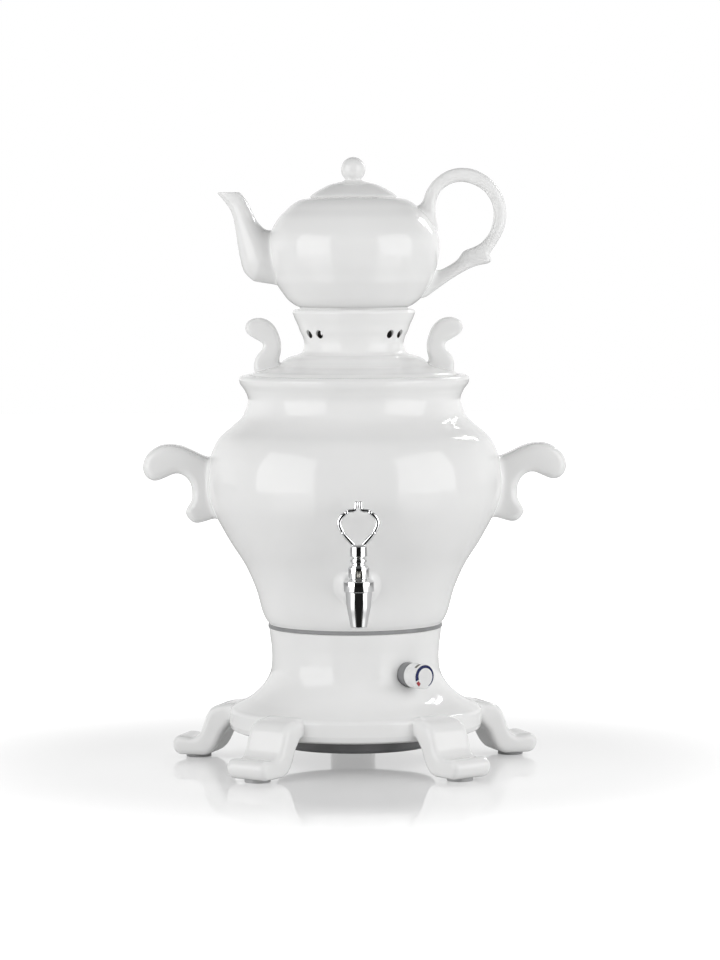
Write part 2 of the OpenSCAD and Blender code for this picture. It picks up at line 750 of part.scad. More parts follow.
inlet_face_y = profile_r(backwards(base_outside), inlet_z) - 3.4;
inlet_depth = 24;
socket_depth = 17;
module power_inlet() {
    color(dark_grey) at_azimuth(inlet_angle) translate([0, -inlet_face_y, inlet_z]) outward()
    difference() {
        union() {
            translate([-inlet_w / 2, -inlet_h / 2, -inlet_depth]) cube([inlet_w, inlet_h, inlet_depth]);
            translate([-inlet_w / 2 - 2.5, -inlet_h / 2 - 2.5, 0]) cube([inlet_w + 5, inlet_h + 5, 2]);
        }
        translate([0, 0, 2 - socket_depth]) linear_extrude(socket_depth + 1) polygon([
            [-12.2, -8], [12.2, -8], [12.2, 3.5], [7.5, 8.2], [-7.5, 8.2], [-12.2, 3.5],
        ]);
        for (p = inlet_pin_places) translate([p[0] - 1, p[1] - 2, -inlet_depth - 1]) cube([2, 4, 20]);
    }
}
inlet_pin_places = [[-7, 0], [0, 3.2], [7, 0]];
module inlet_pins() {
    color(brass_tone) at_azimuth(inlet_angle) translate([0, -inlet_face_y, inlet_z]) outward()
        for (p = inlet_pin_places) translate([p[0] - 1, p[1] - 2, -inlet_depth - 6])
            cube([2, 4, inlet_depth + 2]);
}

// ---------- tap ----------

barrel_r = 8;
plug_low_z = tap_z - 13;
plug_high_z = tap_z + 15;
plug_low_r = 5.2;
plug_high_r = 6.1;
spindle_neck_r = 3.4;
flange_t = 2.5;
seal_w = 2;
bonnet_z = tap_z + 16;
stem_z = bonnet_z + 7.2;
stem_h = 9.5;
port_r = 3.2;
window_w = 5.4;
pin_r = 1.1;
pin_z = tap_z + 8.8;
pin_root = 3.6;
stop_r = 7.1;
stop_play = 14;

module at_tap() {
    translate([0, -tap_y, 0]) children();
}
module tap_body() {
    color(chromed) difference() {
        union() {
            at_tap() rotate_extrude() polygon([
                [0, tap_z - nozzle_l], [nozzle_tip_r - 0.4, tap_z - nozzle_l],
                [nozzle_tip_r, tap_z - nozzle_l + 0.4], [nozzle_tip_r + 1.5, tap_z - 21.5],
                [nozzle_tip_r + 2.9, tap_z - 14], [nozzle_tip_r + 3.8, tap_z - 7],
                [nozzle_tip_r + 4.1, tap_z - 2.4], [tap_collar_r - 0.4, tap_z - 2.4],
                [tap_collar_r, tap_z - 1.9], [tap_collar_r, tap_z + 5.4], [tap_collar_r - 0.7, tap_z + 6.1],
                [barrel_r, tap_z + 6.1], [barrel_r, tap_z + 15.4], [barrel_r - 0.6, tap_z + 16],
                [0, tap_z + 16],
            ]);
            translate([0, -tap_seat_y - seal_w, tap_z]) outward()
                cylinder(r = pipe_r, h = tap_y - tap_seat_y - seal_w);
            translate([0, -tap_inner_y + 12, tap_z]) outward()
                cylinder(r = pipe_r - 0.3, h = tap_seat_y + seal_w + 1 - tap_inner_y + 12);
            translate([0, -tap_seat_y - seal_w, tap_z]) outward() {
                cylinder(r = 13, h = flange_t - 0.8);
                translate([0, 0, flange_t - 0.8]) cylinder(r1 = 13, r2 = pipe_r + 1.5, h = 2.5);
            }
        }
        at_tap() {
            translate([0, 0, tap_z - nozzle_l - 1]) cylinder(r = nozzle_bore_r, h = nozzle_l);
            translate([0, 0, plug_low_z]) cylinder(
                r1 = plug_low_r + run_gap, r2 = plug_high_r + run_gap, h = plug_high_z - plug_low_z);
            translate([0, 0, plug_high_z - eps]) cylinder(r = plug_high_r + run_gap, h = 5);
            translate([-window_w / 2, -barrel_r - 2, tap_z + 6.1]) cube([window_w, barrel_r, 7.2]);
            rotate([0, 0, -90 - stop_play]) rotate_extrude(angle = 90 + 2 * stop_play)
                translate([plug_low_r - 1, pin_z - pin_r - 0.2])
                    square([stop_r + 0.15 - plug_low_r + 1, 2 * pin_r + 0.4]);
        }
        translate([0, 20 - tap_inner_y, tap_z]) outward()
            cylinder(r = pipe_bore_r, h = tap_y - tap_inner_y + 20);
    }
}
module tap_plug() {
    color(brass_tone) at_tap() difference() {
        union() {
            translate([0, 0, plug_low_z + 0.4])
                cylinder(r1 = plug_low_r, r2 = plug_high_r, h = plug_high_z - plug_low_z - 0.4);
            translate([0, 0, plug_high_z - eps]) cylinder(r = spindle_neck_r, h = stem_z + 6 - plug_high_z);
        }
        translate([0, 0, plug_low_z - 1]) cylinder(r = port_r, h = tap_z - plug_low_z + 1);
        translate([0, 0, tap_z]) rotate([0, 90, 0]) cylinder(r = port_r, h = 10);
        for (z = [11.2, 12.8]) translate([0, 0, tap_z + z]) difference() {
            cylinder(r = 8, h = 0.7);
            translate([0, 0, -1]) cylinder(r = 5.5, h = 3);
        }
        translate([0, 0, pin_z]) outward() translate([0, 0, pin_root]) cylinder(r = pin_r + run_gap, h = 5);
    }
}
module tap_o_ring() {
    color(dark_grey) at_tap() translate([0, 0, bonnet_z + 0.9]) rotate_extrude()
        translate([spindle_neck_r + 0.95, 0]) circle(r = 0.9);
}
module tap_bonnet() {
    color(chromed) at_tap() translate([0, 0, bonnet_z]) difference() {
        rotate_extrude() polygon([
            [0, 0], [barrel_r - 0.6, 0], [barrel_r - 0.6, 1.6], [5.4, 3.2], [5.4, 3.9], [6.2, 4.3],
            [6.2, 6.4], [5.9, 6.8], [0, 6.8],
        ]);
        translate([0, 0, -1]) cylinder(r = spindle_neck_r + run_gap, h = 10);
        translate([0, 0, -eps]) cylinder(r = spindle_neck_r + 1.9, h = 1.8);
    }
}
// A round rod along a path in X and Z, with closed ends
module rod(path, d, sides = 10) {
    last = len(path) - 1;
    points = [
        for (i = [0:last])
            let (
                along = path[min(i + 1, last)] - path[max(i - 1, 0)],
                across = [-along[1], along[0]] / norm(along)
            )
            for (k = [0:sides - 1]) let (t = 360 * k / sides)
                [
                    path[i][0] + d / 2 * cos(t) * across[0],
                    d / 2 * sin(t),
                    path[i][1] + d / 2 * cos(t) * across[1],
                ],
    ];
    polyhedron(points, faces = concat(
        [[for (k = [sides - 1:-1:0]) k]],
        [for (i = [0:last - 1]) for (k = [0:sides - 1])
            let (a = i * sides + k, b = i * sides + (k + 1) % sides)
            each [[a, b, b + sides], [a, b + sides, a + sides]]],
        [[for (k = [0:sides - 1]) last * sides + k]]
    ), convexity = 6);
}

// The key: a stem that fits on the plug's spindle, with an open ogee loop above it
loop_z = stem_z + stem_h;
loop_half = (loop_w - loop_rod_d) / 2;
loop_side = [
    [0.12, 1.0], [0.30, 2.6], [0.70, 8.4], [0.90, 12.0], [1.0, 15.6], [0.95, 19.2], [0.80, 22.2],
    [0.62, 24.0], [0.56, 25.0], [0.45, 25.9], [0.26, 26.6], [0.165, 28.4], [0.15, 31.4],
];
module tap_key() {
    half = smooth([for (p = loop_side) [loop_half * p[0], loop_z + p[1]]], 2);
    mirrored = [for (p = half) [-p[0], p[1]]];
    color(chromed) at_tap() {
        difference() {
            translate([0, 0, stem_z]) rotate_extrude() polygon([
                [0, 0], [5.6, 0], [6.3, 0.7], [6.3, stem_h - 1.5], [4.6, stem_h + 0.4], [2.6, stem_h + 1.6],
                [0, stem_h + 2],
            ]);
            translate([0, 0, stem_z - 1]) cylinder(r = spindle_neck_r, h = 7);
        }
        rod(concat(backwards(mirrored), half), loop_rod_d);
    }
}
// A pin in the plug runs in a quarter-turn groove of the barrel
module tap_stop_pin() {
    color(steel) at_tap() translate([0, 0, pin_z]) outward() translate([0, 0, pin_root])
        cylinder(r = pin_r, h = stop_r - pin_root);
}
module tap_seal_outer() {
    color(grey_rubber) translate([0, -tap_seat_y, tap_z]) outward() difference() {
        cylinder(r = 12, h = seal_w);
        translate([0, 0, -1]) cylinder(r = pipe_r, h = seal_w + 2);
    }
}
module tap_seal_inner() {
    color(grey_rubber) translate([0, seal_w - tap_inner_y, tap_z]) outward() difference() {
        cylinder(r = tap_washer_r, h = seal_w);
        translate([0, 0, -1]) cylinder(r = pipe_r, h = seal_w + 2);
    }
}
module tap_nut() {
    color(steel) translate([0, seal_w + 5 - tap_inner_y, tap_z]) outward()
        hex_nut(pipe_r - 0.3 + run_gap, 20, 5);
}

// ---------- lid ----------

lid_top = smooth([
    [lid_r - 2.2, lid_z + lid_edge_h],
    for (s = [[0.30, 9.6], [0.57, 15.7], [0.70, 18.4], [0.79, 20.5], [0.89, 22.7], [0.965, 25.0]])
        [blend(lid_r, lid_waist_r, s[0]), lid_z + s[1]],
    [lid_waist_r, lid_z + 28.2],
    [blend(lid_waist_r, crown_r, 0.10), lid_z + 34],
    [blend(lid_waist_r, crown_r, 0.36), lid_z + 39],
    [blend(lid_waist_r, crown_r, 0.56), lid_z + 44],
    [blend(lid_waist_r, crown_r, 0.80), lid_z + 48.6],
    [crown_r, crown_z - 2.6],
], 3);
lid_under = [for (p = beside(lid_top, lid_wall)) if (p[1] < pot_z - lid_wall - 2 && p[1] > lid_z + 1.5) p];
lid_skirt_r = neck_r - body_wall - 2;
crown_seat_r = pot_foot_r + 0.9;

module samovar_lid() {
    color(porcelain) difference() {
        rotate_extrude() polygon(concat(
            [[lid_skirt_r - 4, lid_z - 6], [lid_skirt_r - 1, lid_z - 6], [lid_skirt_r, lid_z - 5],
                [lid_skirt_r, lid_z], [lid_r - 1.6, lid_z], [lid_r, lid_z + 1.6],
                [lid_r, lid_z + lid_edge_h - 2.6], [lid_r - 0.7, lid_z + lid_edge_h - 0.8]],
            lid_top,
            [[crown_r - 0.6, crown_z - 0.8], [crown_r - 2, crown_z], [crown_seat_r + 0.8, crown_z],
                [crown_seat_r, crown_z - 0.8], [crown_seat_r, pot_z],
                [lid_waist_r - lid_wall, pot_z], [lid_waist_r - lid_wall, pot_z - 6]],
            backwards(lid_under),
            [[lid_skirt_r - 4, lid_z + 1]]
        ));
        for (side = [-1, 1]) for (half = [0, 180]) for (pair = [-8.25, 8.25])
            at_azimuth(half + side * 50 + pair) translate([0, -lid_waist_r + lid_wall + 6, lid_z + vent_h])
                outward() cylinder(d = vent_d, h = 20);
    }
}

lid_handle_r = 57.4;
module lid_handle() {
    free = smooth([
        for (p = [
            [21.3, 10.6], [20.9, 15.0], [18.4, 20.2], [14.6, 24.6], [14.0, 29.4], [20.4, 33.4],
            [26.2, 37.4], [28.0, 42.4], [25.0, 47.2], [18, 49.4], [10.5, 47.6], [5.0, 42.6],
            [1.6, 35.4], [0.0, 28.5], [0.6, 21.0], [2.6, 15.4],
        ])
            [lid_handle_r + p[0], lid_z + p[1]],
    ], 2);
    out_r = free[0][0];
    in_r = free[len(free) - 1][0];
    top_at = backwards(lid_top);
    seat = concat(
        [[in_r, lookup(in_r, top_at) + bond_gap]],
        [for (p = top_at) if (p[0] > in_r + 1 && p[0] < out_r - 1) [p[0], p[1] + bond_gap]],
        [[out_r, lookup(out_r, top_at) + bond_gap]]
    );
    color(porcelain) slab([inner_points(free), seat], lid_handle_w, lid_handle_edge_r);
}
module lid_handle_right() {
    lid_handle();
}
module lid_handle_left() {
    mirror([1, 0, 0]) lid_handle();
}

// ---------- teapot ----------

pot_belly_z = pot_z + 52;
pot_outside = smooth([
    [pot_foot_r, pot_z + 5.6],
    [pot_foot_r + 3.4, pot_z + 7.2],
    for (s = [
        [0.34, 0.163], [0.496, 0.259], [0.732, 0.439], [0.828, 0.58], [0.928, 0.7245], [0.984, 0.898],
    ])
        [blend(pot_foot_r, pot_r, s[0]), blend(pot_z + 3, pot_belly_z, s[1])],
    [pot_r, pot_belly_z + 1.5],
    for (s = [[0.014, 0.19], [0.092, 0.364], [0.253, 0.595], [0.43, 0.753], [0.58, 0.872], [0.76, 0.962]])
        [blend(pot_r, pot_lid_r, s[0]), blend(pot_belly_z, mouth_z, s[1])],
    [pot_lid_r + 1.6, mouth_z - 0.3],
], 3);
pot_inside = [
    for (p = beside(pot_outside, pot_wall)) if (p[1] > pot_z + 9 && p[0] > mouth_r + 0.5) p,
];
spout_root_z = pot_z + 45;

module teapot_body() {
    color(porcelain) difference() {
        rotate_extrude() polygon(concat(
            [[0, pot_z + 2.5], [pot_foot_r - 5, pot_z + 2.5], [pot_foot_r - 4.5, pot_z],
                [pot_foot_r - 1, pot_z], [pot_foot_r, pot_z + 1]],
            pot_outside,
            [[pot_lid_r + 0.6, mouth_z], [mouth_r, mouth_z], [mouth_r, mouth_z - pot_wall]],
            backwards(pot_inside),
            [[pot_inside[0][0] - 3.5, pot_z + 7.5], [0, pot_z + 6.5]]
        ));
        for (hole = [[0, 0], for (i = [0:5]) 8.4 * [cos(60 * i), sin(60 * i)]])
            translate([-pot_r - 10, hole[0], spout_root_z + hole[1]]) rotate([0, 90, 0])
                cylinder(d = strainer_d, h = pot_r);
    }
}

// The spout's rings: the front edge and the back edge of each, and its half width
spout_stations = [
    [[1.0, 95.7], [0.833, 95.9], 6.4],
    [[0.929, 86.7], [0.789, 90.3], 7.2],
    [[0.890, 79.4], [0.755, 83.7], 8.6],
    [[0.869, 69.5], [0.715, 74.5], 10.6],
    [[0.853, 57.2], [0.672, 68.8], 13.4],
    [[0.835, 45.5], [0.645, 66.6], 15.8],
    [[0.802, 33.6], [0.624, 66.0], 17.6],
    [[0.732, 26.2], [0.617, 65.8], 18.6],
];
spout_sides = 24;
function spout_ring(s, wall) =
    let (
        front = [-spout_reach * s[0][0], pot_z + s[0][1]],
        back = [-spout_reach * s[1][0], pot_z + s[1][1]],
        middle = (front + back) / 2,
        half = (front - back) / 2,
        shrink = 1 - wall / norm(half)
    )
    [
        for (i = [0:spout_sides - 1]) let (t = 360 * i / spout_sides)
            [
                middle[0] + half[0] * shrink * cos(t),
                (s[2] - wall) * sin(t),
                middle[1] + half[1] * shrink * cos(t),
            ],
    ];
// The last ring is laid on the teapot's side
function on_pot(ring) = [
    for (p = ring) [-sqrt(pow(profile_r(pot_outside, p[2]) + bond_gap, 2) - p[1] * p[1]), p[1], p[2]],
];
module teapot_spout() {
    root = [[0.6, 22.6], [0.6, 65.4], 19];
    outer = concat([for (s = spout_stations) spout_ring(s, 0)], [on_pot(spout_ring(root, 0))]);
    inner = concat([for (s = spout_stations) spout_ring(s, spout_wall)],
        [on_pot(spout_ring(root, spout_wall + 1))]);
    color(porcelain) ring_skin(concat(outer, backwards(inner)));
}

module teapot_handle() {
    reach = pot_handle_reach - pot_r;
    free = smooth([
        for (p = [
            [-0.26, 11.0], [-0.147, 15.6], [0.109, 25.4], [0.30, 31.6], [0.45, 35.8], [0.60, 38.5],
            [0.72, 39.4], [0.775, 42.2], [0.745, 46.6], [0.834, 54.0], [0.926, 62.2], [0.98, 70.0],
            [1.0, 78.6], [0.977, 86.9], [0.905, 96.1], [0.79, 104.0], [0.65, 109.5], [0.49, 113.1],
            [0.33, 114.0], [0.18, 112.9], [0.03, 109.1], [-0.115, 102.5], [-0.21, 94.0], [-0.265, 83.8],
        ])
            [pot_r + reach * p[0], pot_z + p[1]],
    ], 2);
    hole = smooth([
        for (p = [
            [-0.011, 64.4], [-0.018, 69.0], [-0.052, 75.0], [-0.067, 81.6], [-0.052, 88.5], [0.0, 95.4],
            [0.10, 100.2], [0.24, 103.3], [0.39, 103.4], [0.55, 100.6], [0.68, 95.9], [0.775, 88.6],
            [0.815, 79.5], [0.797, 69.5], [0.74, 62.2], [0.63, 55.5], [0.50, 51.6], [0.37, 49.2],
            [0.315, 45.4], [0.25, 41.3], [0.10, 36.3], [-0.063, 32.4],
        ])
            [pot_r + reach * p[0], pot_z + p[1]],
    ], 2);
    low = profile_part(pot_outside, free[0][1], hole[len(hole) - 1][1], bond_gap);
    high = profile_part(pot_outside, hole[0][1], free[len(free) - 1][1], bond_gap);
    color(porcelain) slab(
        [inner_points(free), backwards(high), inner_points(hole), backwards(low)],
        pot_handle_w, pot_handle_edge_r);
}

module teapot_lid() {
    knob_z = mouth_z + pot_lid_h - pot_knob_r;
    dome = smooth([
        [pot_lid_r, mouth_z + 1.2],
        [pot_lid_r - 1.6, mouth_z + 2.8],
        [blend(pot_lid_r, 7, 0.28), mouth_z + 6.6],
        [blend(pot_lid_r, 7, 0.56), mouth_z + 10.3],
        [blend(pot_lid_r, 7, 0.82), mouth_z + 12.2],
        [7.4, mouth_z + 13.3],
    ], 3);
    color(porcelain) difference() {
        rotate_extrude() polygon(concat(
            [[mouth_r - 5, mouth_z - 9], [mouth_r - 1.6, mouth_z - 9], [mouth_r - 0.8, mouth_z - 8],
                [mouth_r - 0.8, mouth_z], [pot_lid_r - 0.8, mouth_z]],
            dome,
            arc([0, knob_z], pot_knob_r, -46, 90, 14),
            [[0, mouth_z + 9], [mouth_r - 14, mouth_z + 6.4], [mouth_r - 5, mouth_z + 1]]
        ));
        translate([0, 14, mouth_z]) cylinder(r = 1.6, h = 20);
    }
}

body_shell();
side_handle_left();
side_handle_right();
seam_gasket();
base_shell();
foot_front_left();
foot_front_right();
foot_side_left();
foot_side_right();
foot_rear();
foot_pad_front_left();
foot_pad_front_right();
foot_pad_side_left();
foot_pad_side_right();
foot_pad_rear();
bottom_cover();
tie_rods();
tie_rod_nuts();
tie_rod_washers();
heater_plate();
heater_seal();
heating_element();
element_insulators();
thermal_cutout();
clamp_ring();
clamp_nuts();
thermostat_housing();
thermostat_spindle();
thermostat_collar();
thermostat_nut();
control_knob();
sensor_bulb();
power_inlet();
inlet_pins();
tap_body();
tap_plug();
tap_bonnet();
tap_o_ring();
tap_key();
tap_stop_pin();
tap_seal_outer();
tap_seal_inner();
tap_nut();
samovar_lid();
lid_handle_left();
lid_handle_right();
teapot_body();
teapot_spout();
teapot_handle();
teapot_lid();
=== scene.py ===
# %% [markdown]
# # A white porcelain samovar with its teapot
#
# The samovar is an urn of glazed porcelain. A base with five curled feet holds the heater and its
# control, and the vessel stands on the base with a grey gasket in the seam. A plug tap of chromed
# brass lets the water out, and a small teapot keeps warm on the crown of the vented lid.
#
# The solids of the packed part come in first and stay where they are. Each cell then makes one piece
# with its finished surface: rounded rims, glaze that has run over the edges, and fillets where the
# potter has luted a handle or a foot on.

# %% Open the part's frame
import json
import math

import bmesh
import bpy
import numpy as np
from mathutils import Matrix, Vector


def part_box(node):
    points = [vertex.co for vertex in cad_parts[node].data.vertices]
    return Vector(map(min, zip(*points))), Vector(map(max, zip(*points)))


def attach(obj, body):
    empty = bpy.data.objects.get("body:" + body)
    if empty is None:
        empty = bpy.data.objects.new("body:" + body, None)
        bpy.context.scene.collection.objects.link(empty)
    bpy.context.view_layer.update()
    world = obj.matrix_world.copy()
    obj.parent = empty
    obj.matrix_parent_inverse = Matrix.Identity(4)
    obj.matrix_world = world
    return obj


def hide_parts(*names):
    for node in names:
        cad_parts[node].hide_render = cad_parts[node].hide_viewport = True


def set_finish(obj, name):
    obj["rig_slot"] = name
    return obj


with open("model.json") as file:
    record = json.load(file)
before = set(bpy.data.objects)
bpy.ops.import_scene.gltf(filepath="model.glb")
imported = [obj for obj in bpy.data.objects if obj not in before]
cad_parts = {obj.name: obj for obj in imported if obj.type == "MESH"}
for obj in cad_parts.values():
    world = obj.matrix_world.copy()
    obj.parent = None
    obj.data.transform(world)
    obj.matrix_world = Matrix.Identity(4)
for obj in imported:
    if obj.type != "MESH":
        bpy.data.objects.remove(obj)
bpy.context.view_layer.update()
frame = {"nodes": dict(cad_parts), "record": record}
MM = 0.001

# %% [markdown]
# ## Heights that the pieces share
#
# They could be written down as numbers, but a skin with numbers of its own drifts away from its solid.
# They are read from the solids, so that a change of the part's sizes comes through here.

# %% Read the heights
def low_z(node):
    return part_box(node)[0].z / MM


def high_z(node):
    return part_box(node)[1].z / MM


def middle_z(node):
    return (low_z(node) + high_z(node)) / 2


base_z, base_top_z = low_z("base_shell"), high_z("base_shell")
seam_z, rim_z = low_z("body_shell"), high_z("body_shell")
lid_z, crown_z = low_z("samovar_lid") + 6, high_z("samovar_lid")
pot_z, mouth_z = low_z("teapot_body"), high_z("teapot_body")
tap_z = low_z("tap_body") + 28.5
tap_y = -(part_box("tap_bonnet")[0].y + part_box("tap_bonnet")[1].y) / 2 / MM
flange_top_z = base_z + 15
print("base", round(base_z, 2), "seam", round(seam_z, 2), "rim", round(rim_z, 2), "crown", round(crown_z, 2),
      "pot", round(pot_z, 2), "mouth", round(mouth_z, 2), "tap", round(tap_z, 2), round(tap_y, 2))

# %% [markdown]
# ## Drawing a profile
#
# A thrown or jiggered pot has one profile all round, so most pieces start as a list of radius and height
# in millimetres. A curve object could hold it, but a list is easier to measure and to set off for the
# inside of the wall. `spline` runs a smooth curve through its stations, and `softened` rounds the corners
# that are left, as glaze does.

# %% Curves and rounded corners
def blend(a, b, share):
    return a + (b - a) * share


def spline(stations, steps=8):
    points = []
    stations = [np.array(s, float) for s in stations]
    last = len(stations) - 1
    for i in range(last):
        a, b = stations[max(i - 1, 0)], stations[i]
        c, d = stations[i + 1], stations[min(i + 2, last)]
        for k in range(steps):
            t = k / steps
            points.append(0.5 * (2 * b + (c - a) * t + (2 * a - 5 * b + 4 * c - d) * t ** 2
                                 + (3 * b - a - 3 * c + d) * t ** 3))
    points.append(stations[last])
    return [tuple(p) for p in points]


def softened(points, radius, closed=True, steps=4, least_turn=14):
    """Rounds each corner that turns by more than least_turn degrees."""
    points = [np.array(p, float) for p in points]
    points = [p for i, p in enumerate(points) if i == 0 or np.linalg.norm(p - points[i - 1]) > 1e-6]
    if closed and np.linalg.norm(points[0] - points[-1]) < 1e-6:
        points.pop()
    count, out = len(points), []
    for i, p in enumerate(points):
        if not closed and i in (0, count - 1):
            out.append(tuple(p))
            continue
        before, after = points[i - 1] - p, points[(i + 1) % count] - p
        lb, la = np.linalg.norm(before), np.linalg.norm(after)
        turn = math.degrees(math.acos(max(-1, min(1, -np.dot(before, after) / (lb * la)))))
        if turn < least_turn or p[0] < 1e-6:
            out.append(tuple(p))
            continue
        reach = min(radius * math.tan(math.radians(min(turn, 150) / 2)), 0.45 * lb, 0.45 * la)
        a, b = p + before / lb * reach, p + after / la * reach
        for k in range(steps + 1):
            t = k / steps
            out.append(tuple((1 - t) ** 2 * a + 2 * t * (1 - t) * p + t ** 2 * b))
    return out


def beside(curve, distance):
    """The curve moved to its left by a distance."""
    moved = []
    for i, p in enumerate(curve):
        a, b = np.array(curve[max(i - 1, 0)]), np.array(curve[min(i + 1, len(curve) - 1)])
        d = (b - a) / np.linalg.norm(b - a)
        moved.append((p[0] - d[1] * distance, p[1] + d[0] * distance))
    return moved


def between_corners(start, end, shares):
    """Stations whose radius and height are shares of the way between two corners."""
    return [(blend(start[0], end[0], a), blend(start[1], end[1], b)) for a, b in shares]


def radius_at(profile, z):
    ordered = sorted((p[1], p[0]) for p in profile)
    return float(np.interp(z, [p[0] for p in ordered], [p[1] for p in ordered]))


print("a square with rounded corners:", len(softened([(1, 0), (2, 0), (2, 1), (1, 1)], 0.1)), "points")

# %% [markdown]
# ## Turning a profile
#
# The wheel makes a skin of the profile. A Screw modifier could do it too, but a mesh that is built ring by
# ring shares one point on the axis, and its points lie where the shading needs them. The normals are
# weighted by the faces' areas, which keeps the light even on the large curves beside small roundings.

# %% From rings to faces
def smooth(mesh):
    for polygon in mesh.polygons:
        polygon.use_smooth = True


def new_object(name, verts, faces, body, slot):
    mesh = bpy.data.meshes.new(name)
    mesh.from_pydata([tuple(v) for v in verts], [], faces)
    mesh.validate()
    obj = bpy.data.objects.new(name, mesh)
    bpy.context.scene.collection.objects.link(obj)
    smooth(mesh)
    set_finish(obj, slot)
    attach(obj, body)
    return obj


def turned_mesh(profile, segments, closed=True):
    """Vertices and faces of a profile turned about Z, in metres. Points on the axis share one vertex."""
    verts, rows = [], []
    for r, z in profile:
        if r < 1e-6:
            rows.append([len(verts)] * segments)
            verts.append((0, 0, z * MM))
        else:
            rows.append(list(range(len(verts), len(verts) + segments)))
            for k in range(segments):
                t = 2 * math.pi * k / segments
                verts.append((r * math.cos(t) * MM, r * math.sin(t) * MM, z * MM))
    faces = []
    count = len(rows)
    for i in range(count if closed else count - 1):
        a, b = rows[i], rows[(i + 1) % count]
        for k in range(segments):
            n = (k + 1) % segments
            face = []
            for v in (a[k], a[n], b[n], b[k]):
                if v not in face:
                    face.append(v)
            if len(face) > 2:
                faces.append(face)
    return verts, faces


def weigh(obj):
    """Shading normals follow the large faces, so that a small rounding doesn't bend the light on them."""
    modifier = obj.modifiers.new("even shading", "WEIGHTED_NORMAL")
    modifier.weight = 60
    modifier.keep_sharp = False


def turned(name, profile, body, slot, segments=160, closed=True, place=None):
    verts, faces = turned_mesh(profile, segments, closed)
    if place is not None:
        verts = [place @ Vector(v) for v in verts]
    obj = new_object(name, verts, faces, body, slot)
    weigh(obj)
    return obj


print("a turned square ring:", len(turned_mesh([(1, 0), (2, 0), (2, 1), (1, 1)], 8)[1]), "faces")

# %% [markdown]
# ## The vessel
#
# The vessel is slip-cast in a plaster mould and glazed inside and out. Its shoulder, waist and turned-out
# rim are one flowing curve, which is why the soft lamps lie on it as long, even patches. The foot ring
# under it sits on the gasket, and the hole in its floor is closed by the heater plate. The inside is the
# outside moved in by the wall, so it needs no stations of its own.

# %% Profile of the vessel
belly_r, neck_r, rim_r, seam_r = 116.0, 83.8, 90.6, 68.4
belly_z, neck_z = seam_z + 0.57 * (rim_z - seam_z), rim_z - 19.5
body_outside = spline(
    [(seam_r, seam_z + 1), (seam_r + 2.3, seam_z + 4.2)]
    + between_corners((seam_r + 1, seam_z), (belly_r, belly_z), (
        (0.09, 0.10), (0.19, 0.25), (0.37, 0.42), (0.62, 0.585), (0.85, 0.76), (0.965, 0.88)))
    + [(belly_r, belly_z)]
    + between_corners((belly_r, belly_z), (neck_r, neck_z), (
        (0.04, 0.23), (0.13, 0.39), (0.31, 0.55), (0.62, 0.685), (0.885, 0.82)))
    + [(neck_r, neck_z), (blend(neck_r, rim_r, 0.3), neck_z + 7),
       (blend(neck_r, rim_r, 0.85), neck_z + 12.5), (rim_r, neck_z + 16)])
body_inside = [p for p in beside(body_outside, 6) if seam_z + 10.5 < p[1] < neck_z + 4]
rim_land = [(rim_r - 0.4, rim_z - 1.6), (rim_r - 2.6, rim_z - 0.2), (rim_r - 5, rim_z),
            (82.8, rim_z - 0.3), (81.8, rim_z - 1.6), (81.8, rim_z - 4.5), (neck_r - 4.5, rim_z - 4.5)]
vessel_profile = (
    softened([(50, seam_z), (seam_r - 0.4, seam_z)] + body_outside[:1], 0.5, closed=False)
    + body_outside[1:]
    + softened(rim_land, 1.0, closed=False)
    + body_inside[::-1]
    + softened([(body_inside[0][0] - 3, seam_z + 7.5), (50, seam_z + 7.5), (50, seam_z + 4)], 1.0,
               closed=False)
)
print("vessel profile:", len(vessel_profile), "points")

# %% [markdown]
# ### The boss for the tap
#
# The wall leans, and the tap's washer needs a flat land. The potter sticks a pad of clay on and wipes it
# out into the wall. A cylinder joined by a Boolean would leave a hard edge, so the boss is a sheet in
# rings that starts flat round the pipe and runs out into the wall.

# %% Vessel and boss
def tap_boss(pipe_r=6, land_r=9.5, outer_r=19.5, rings=24, sides=96):
    """A flat land round the tap's pipe, which runs out into the vessel's wall."""
    verts, faces = [], []
    for ring, r in enumerate(np.linspace(pipe_r, outer_r, rings)):
        share = max(0.0, (r - land_r) / (outer_r - land_r))
        share = share * share * (3 - 2 * share)
        for k in range(sides):
            t = 2 * math.pi * k / sides
            x, z = r * math.cos(t), tap_z + r * math.sin(t)
            just_inside = math.sqrt(radius_at(body_outside, z) ** 2 - x ** 2) - 0.1
            verts.append((x * MM, -blend(tap_seat_y, just_inside, share) * MM, z * MM))
            if ring:
                here, following = sides * ring + k, sides * ring + (k + 1) % sides
                faces.append((here, here - sides, following - sides, following))
    return verts, faces


vessel = turned("porcelain_vessel", vessel_profile, "samovar", "porcelain", 220)
tap_seat_y = radius_at(body_outside, tap_z) + 4.5
new_object("porcelain_tap_boss", *tap_boss(), "samovar", "porcelain")
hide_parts("body_shell")
print("tap boss stands", round(tap_seat_y - radius_at(body_outside, tap_z), 1), "mm proud of the wall")

# %% [markdown]
# ## Drilling
#
# Holes are cut in the damp clay, and drilled in the metal. A Boolean modifier with the exact solver does
# the same, and it is worked into the mesh at once. It spoils the shading of the faces that it splits, so
# each point of a turned piece then takes back the normal of the turned shape.

# %% Cutters and holes
def bearing(degrees):
    """A level direction, turned from the camera's side towards +X."""
    return Vector((math.sin(math.radians(degrees)), -math.cos(math.radians(degrees)), 0))


def work_in(obj):
    """Works the object's modifiers into its mesh."""
    bpy.context.view_layer.update()
    evaluated = obj.evaluated_get(bpy.context.evaluated_depsgraph_get())
    mesh = bpy.data.meshes.new_from_object(evaluated)
    obj.modifiers.clear()
    obj.data = mesh


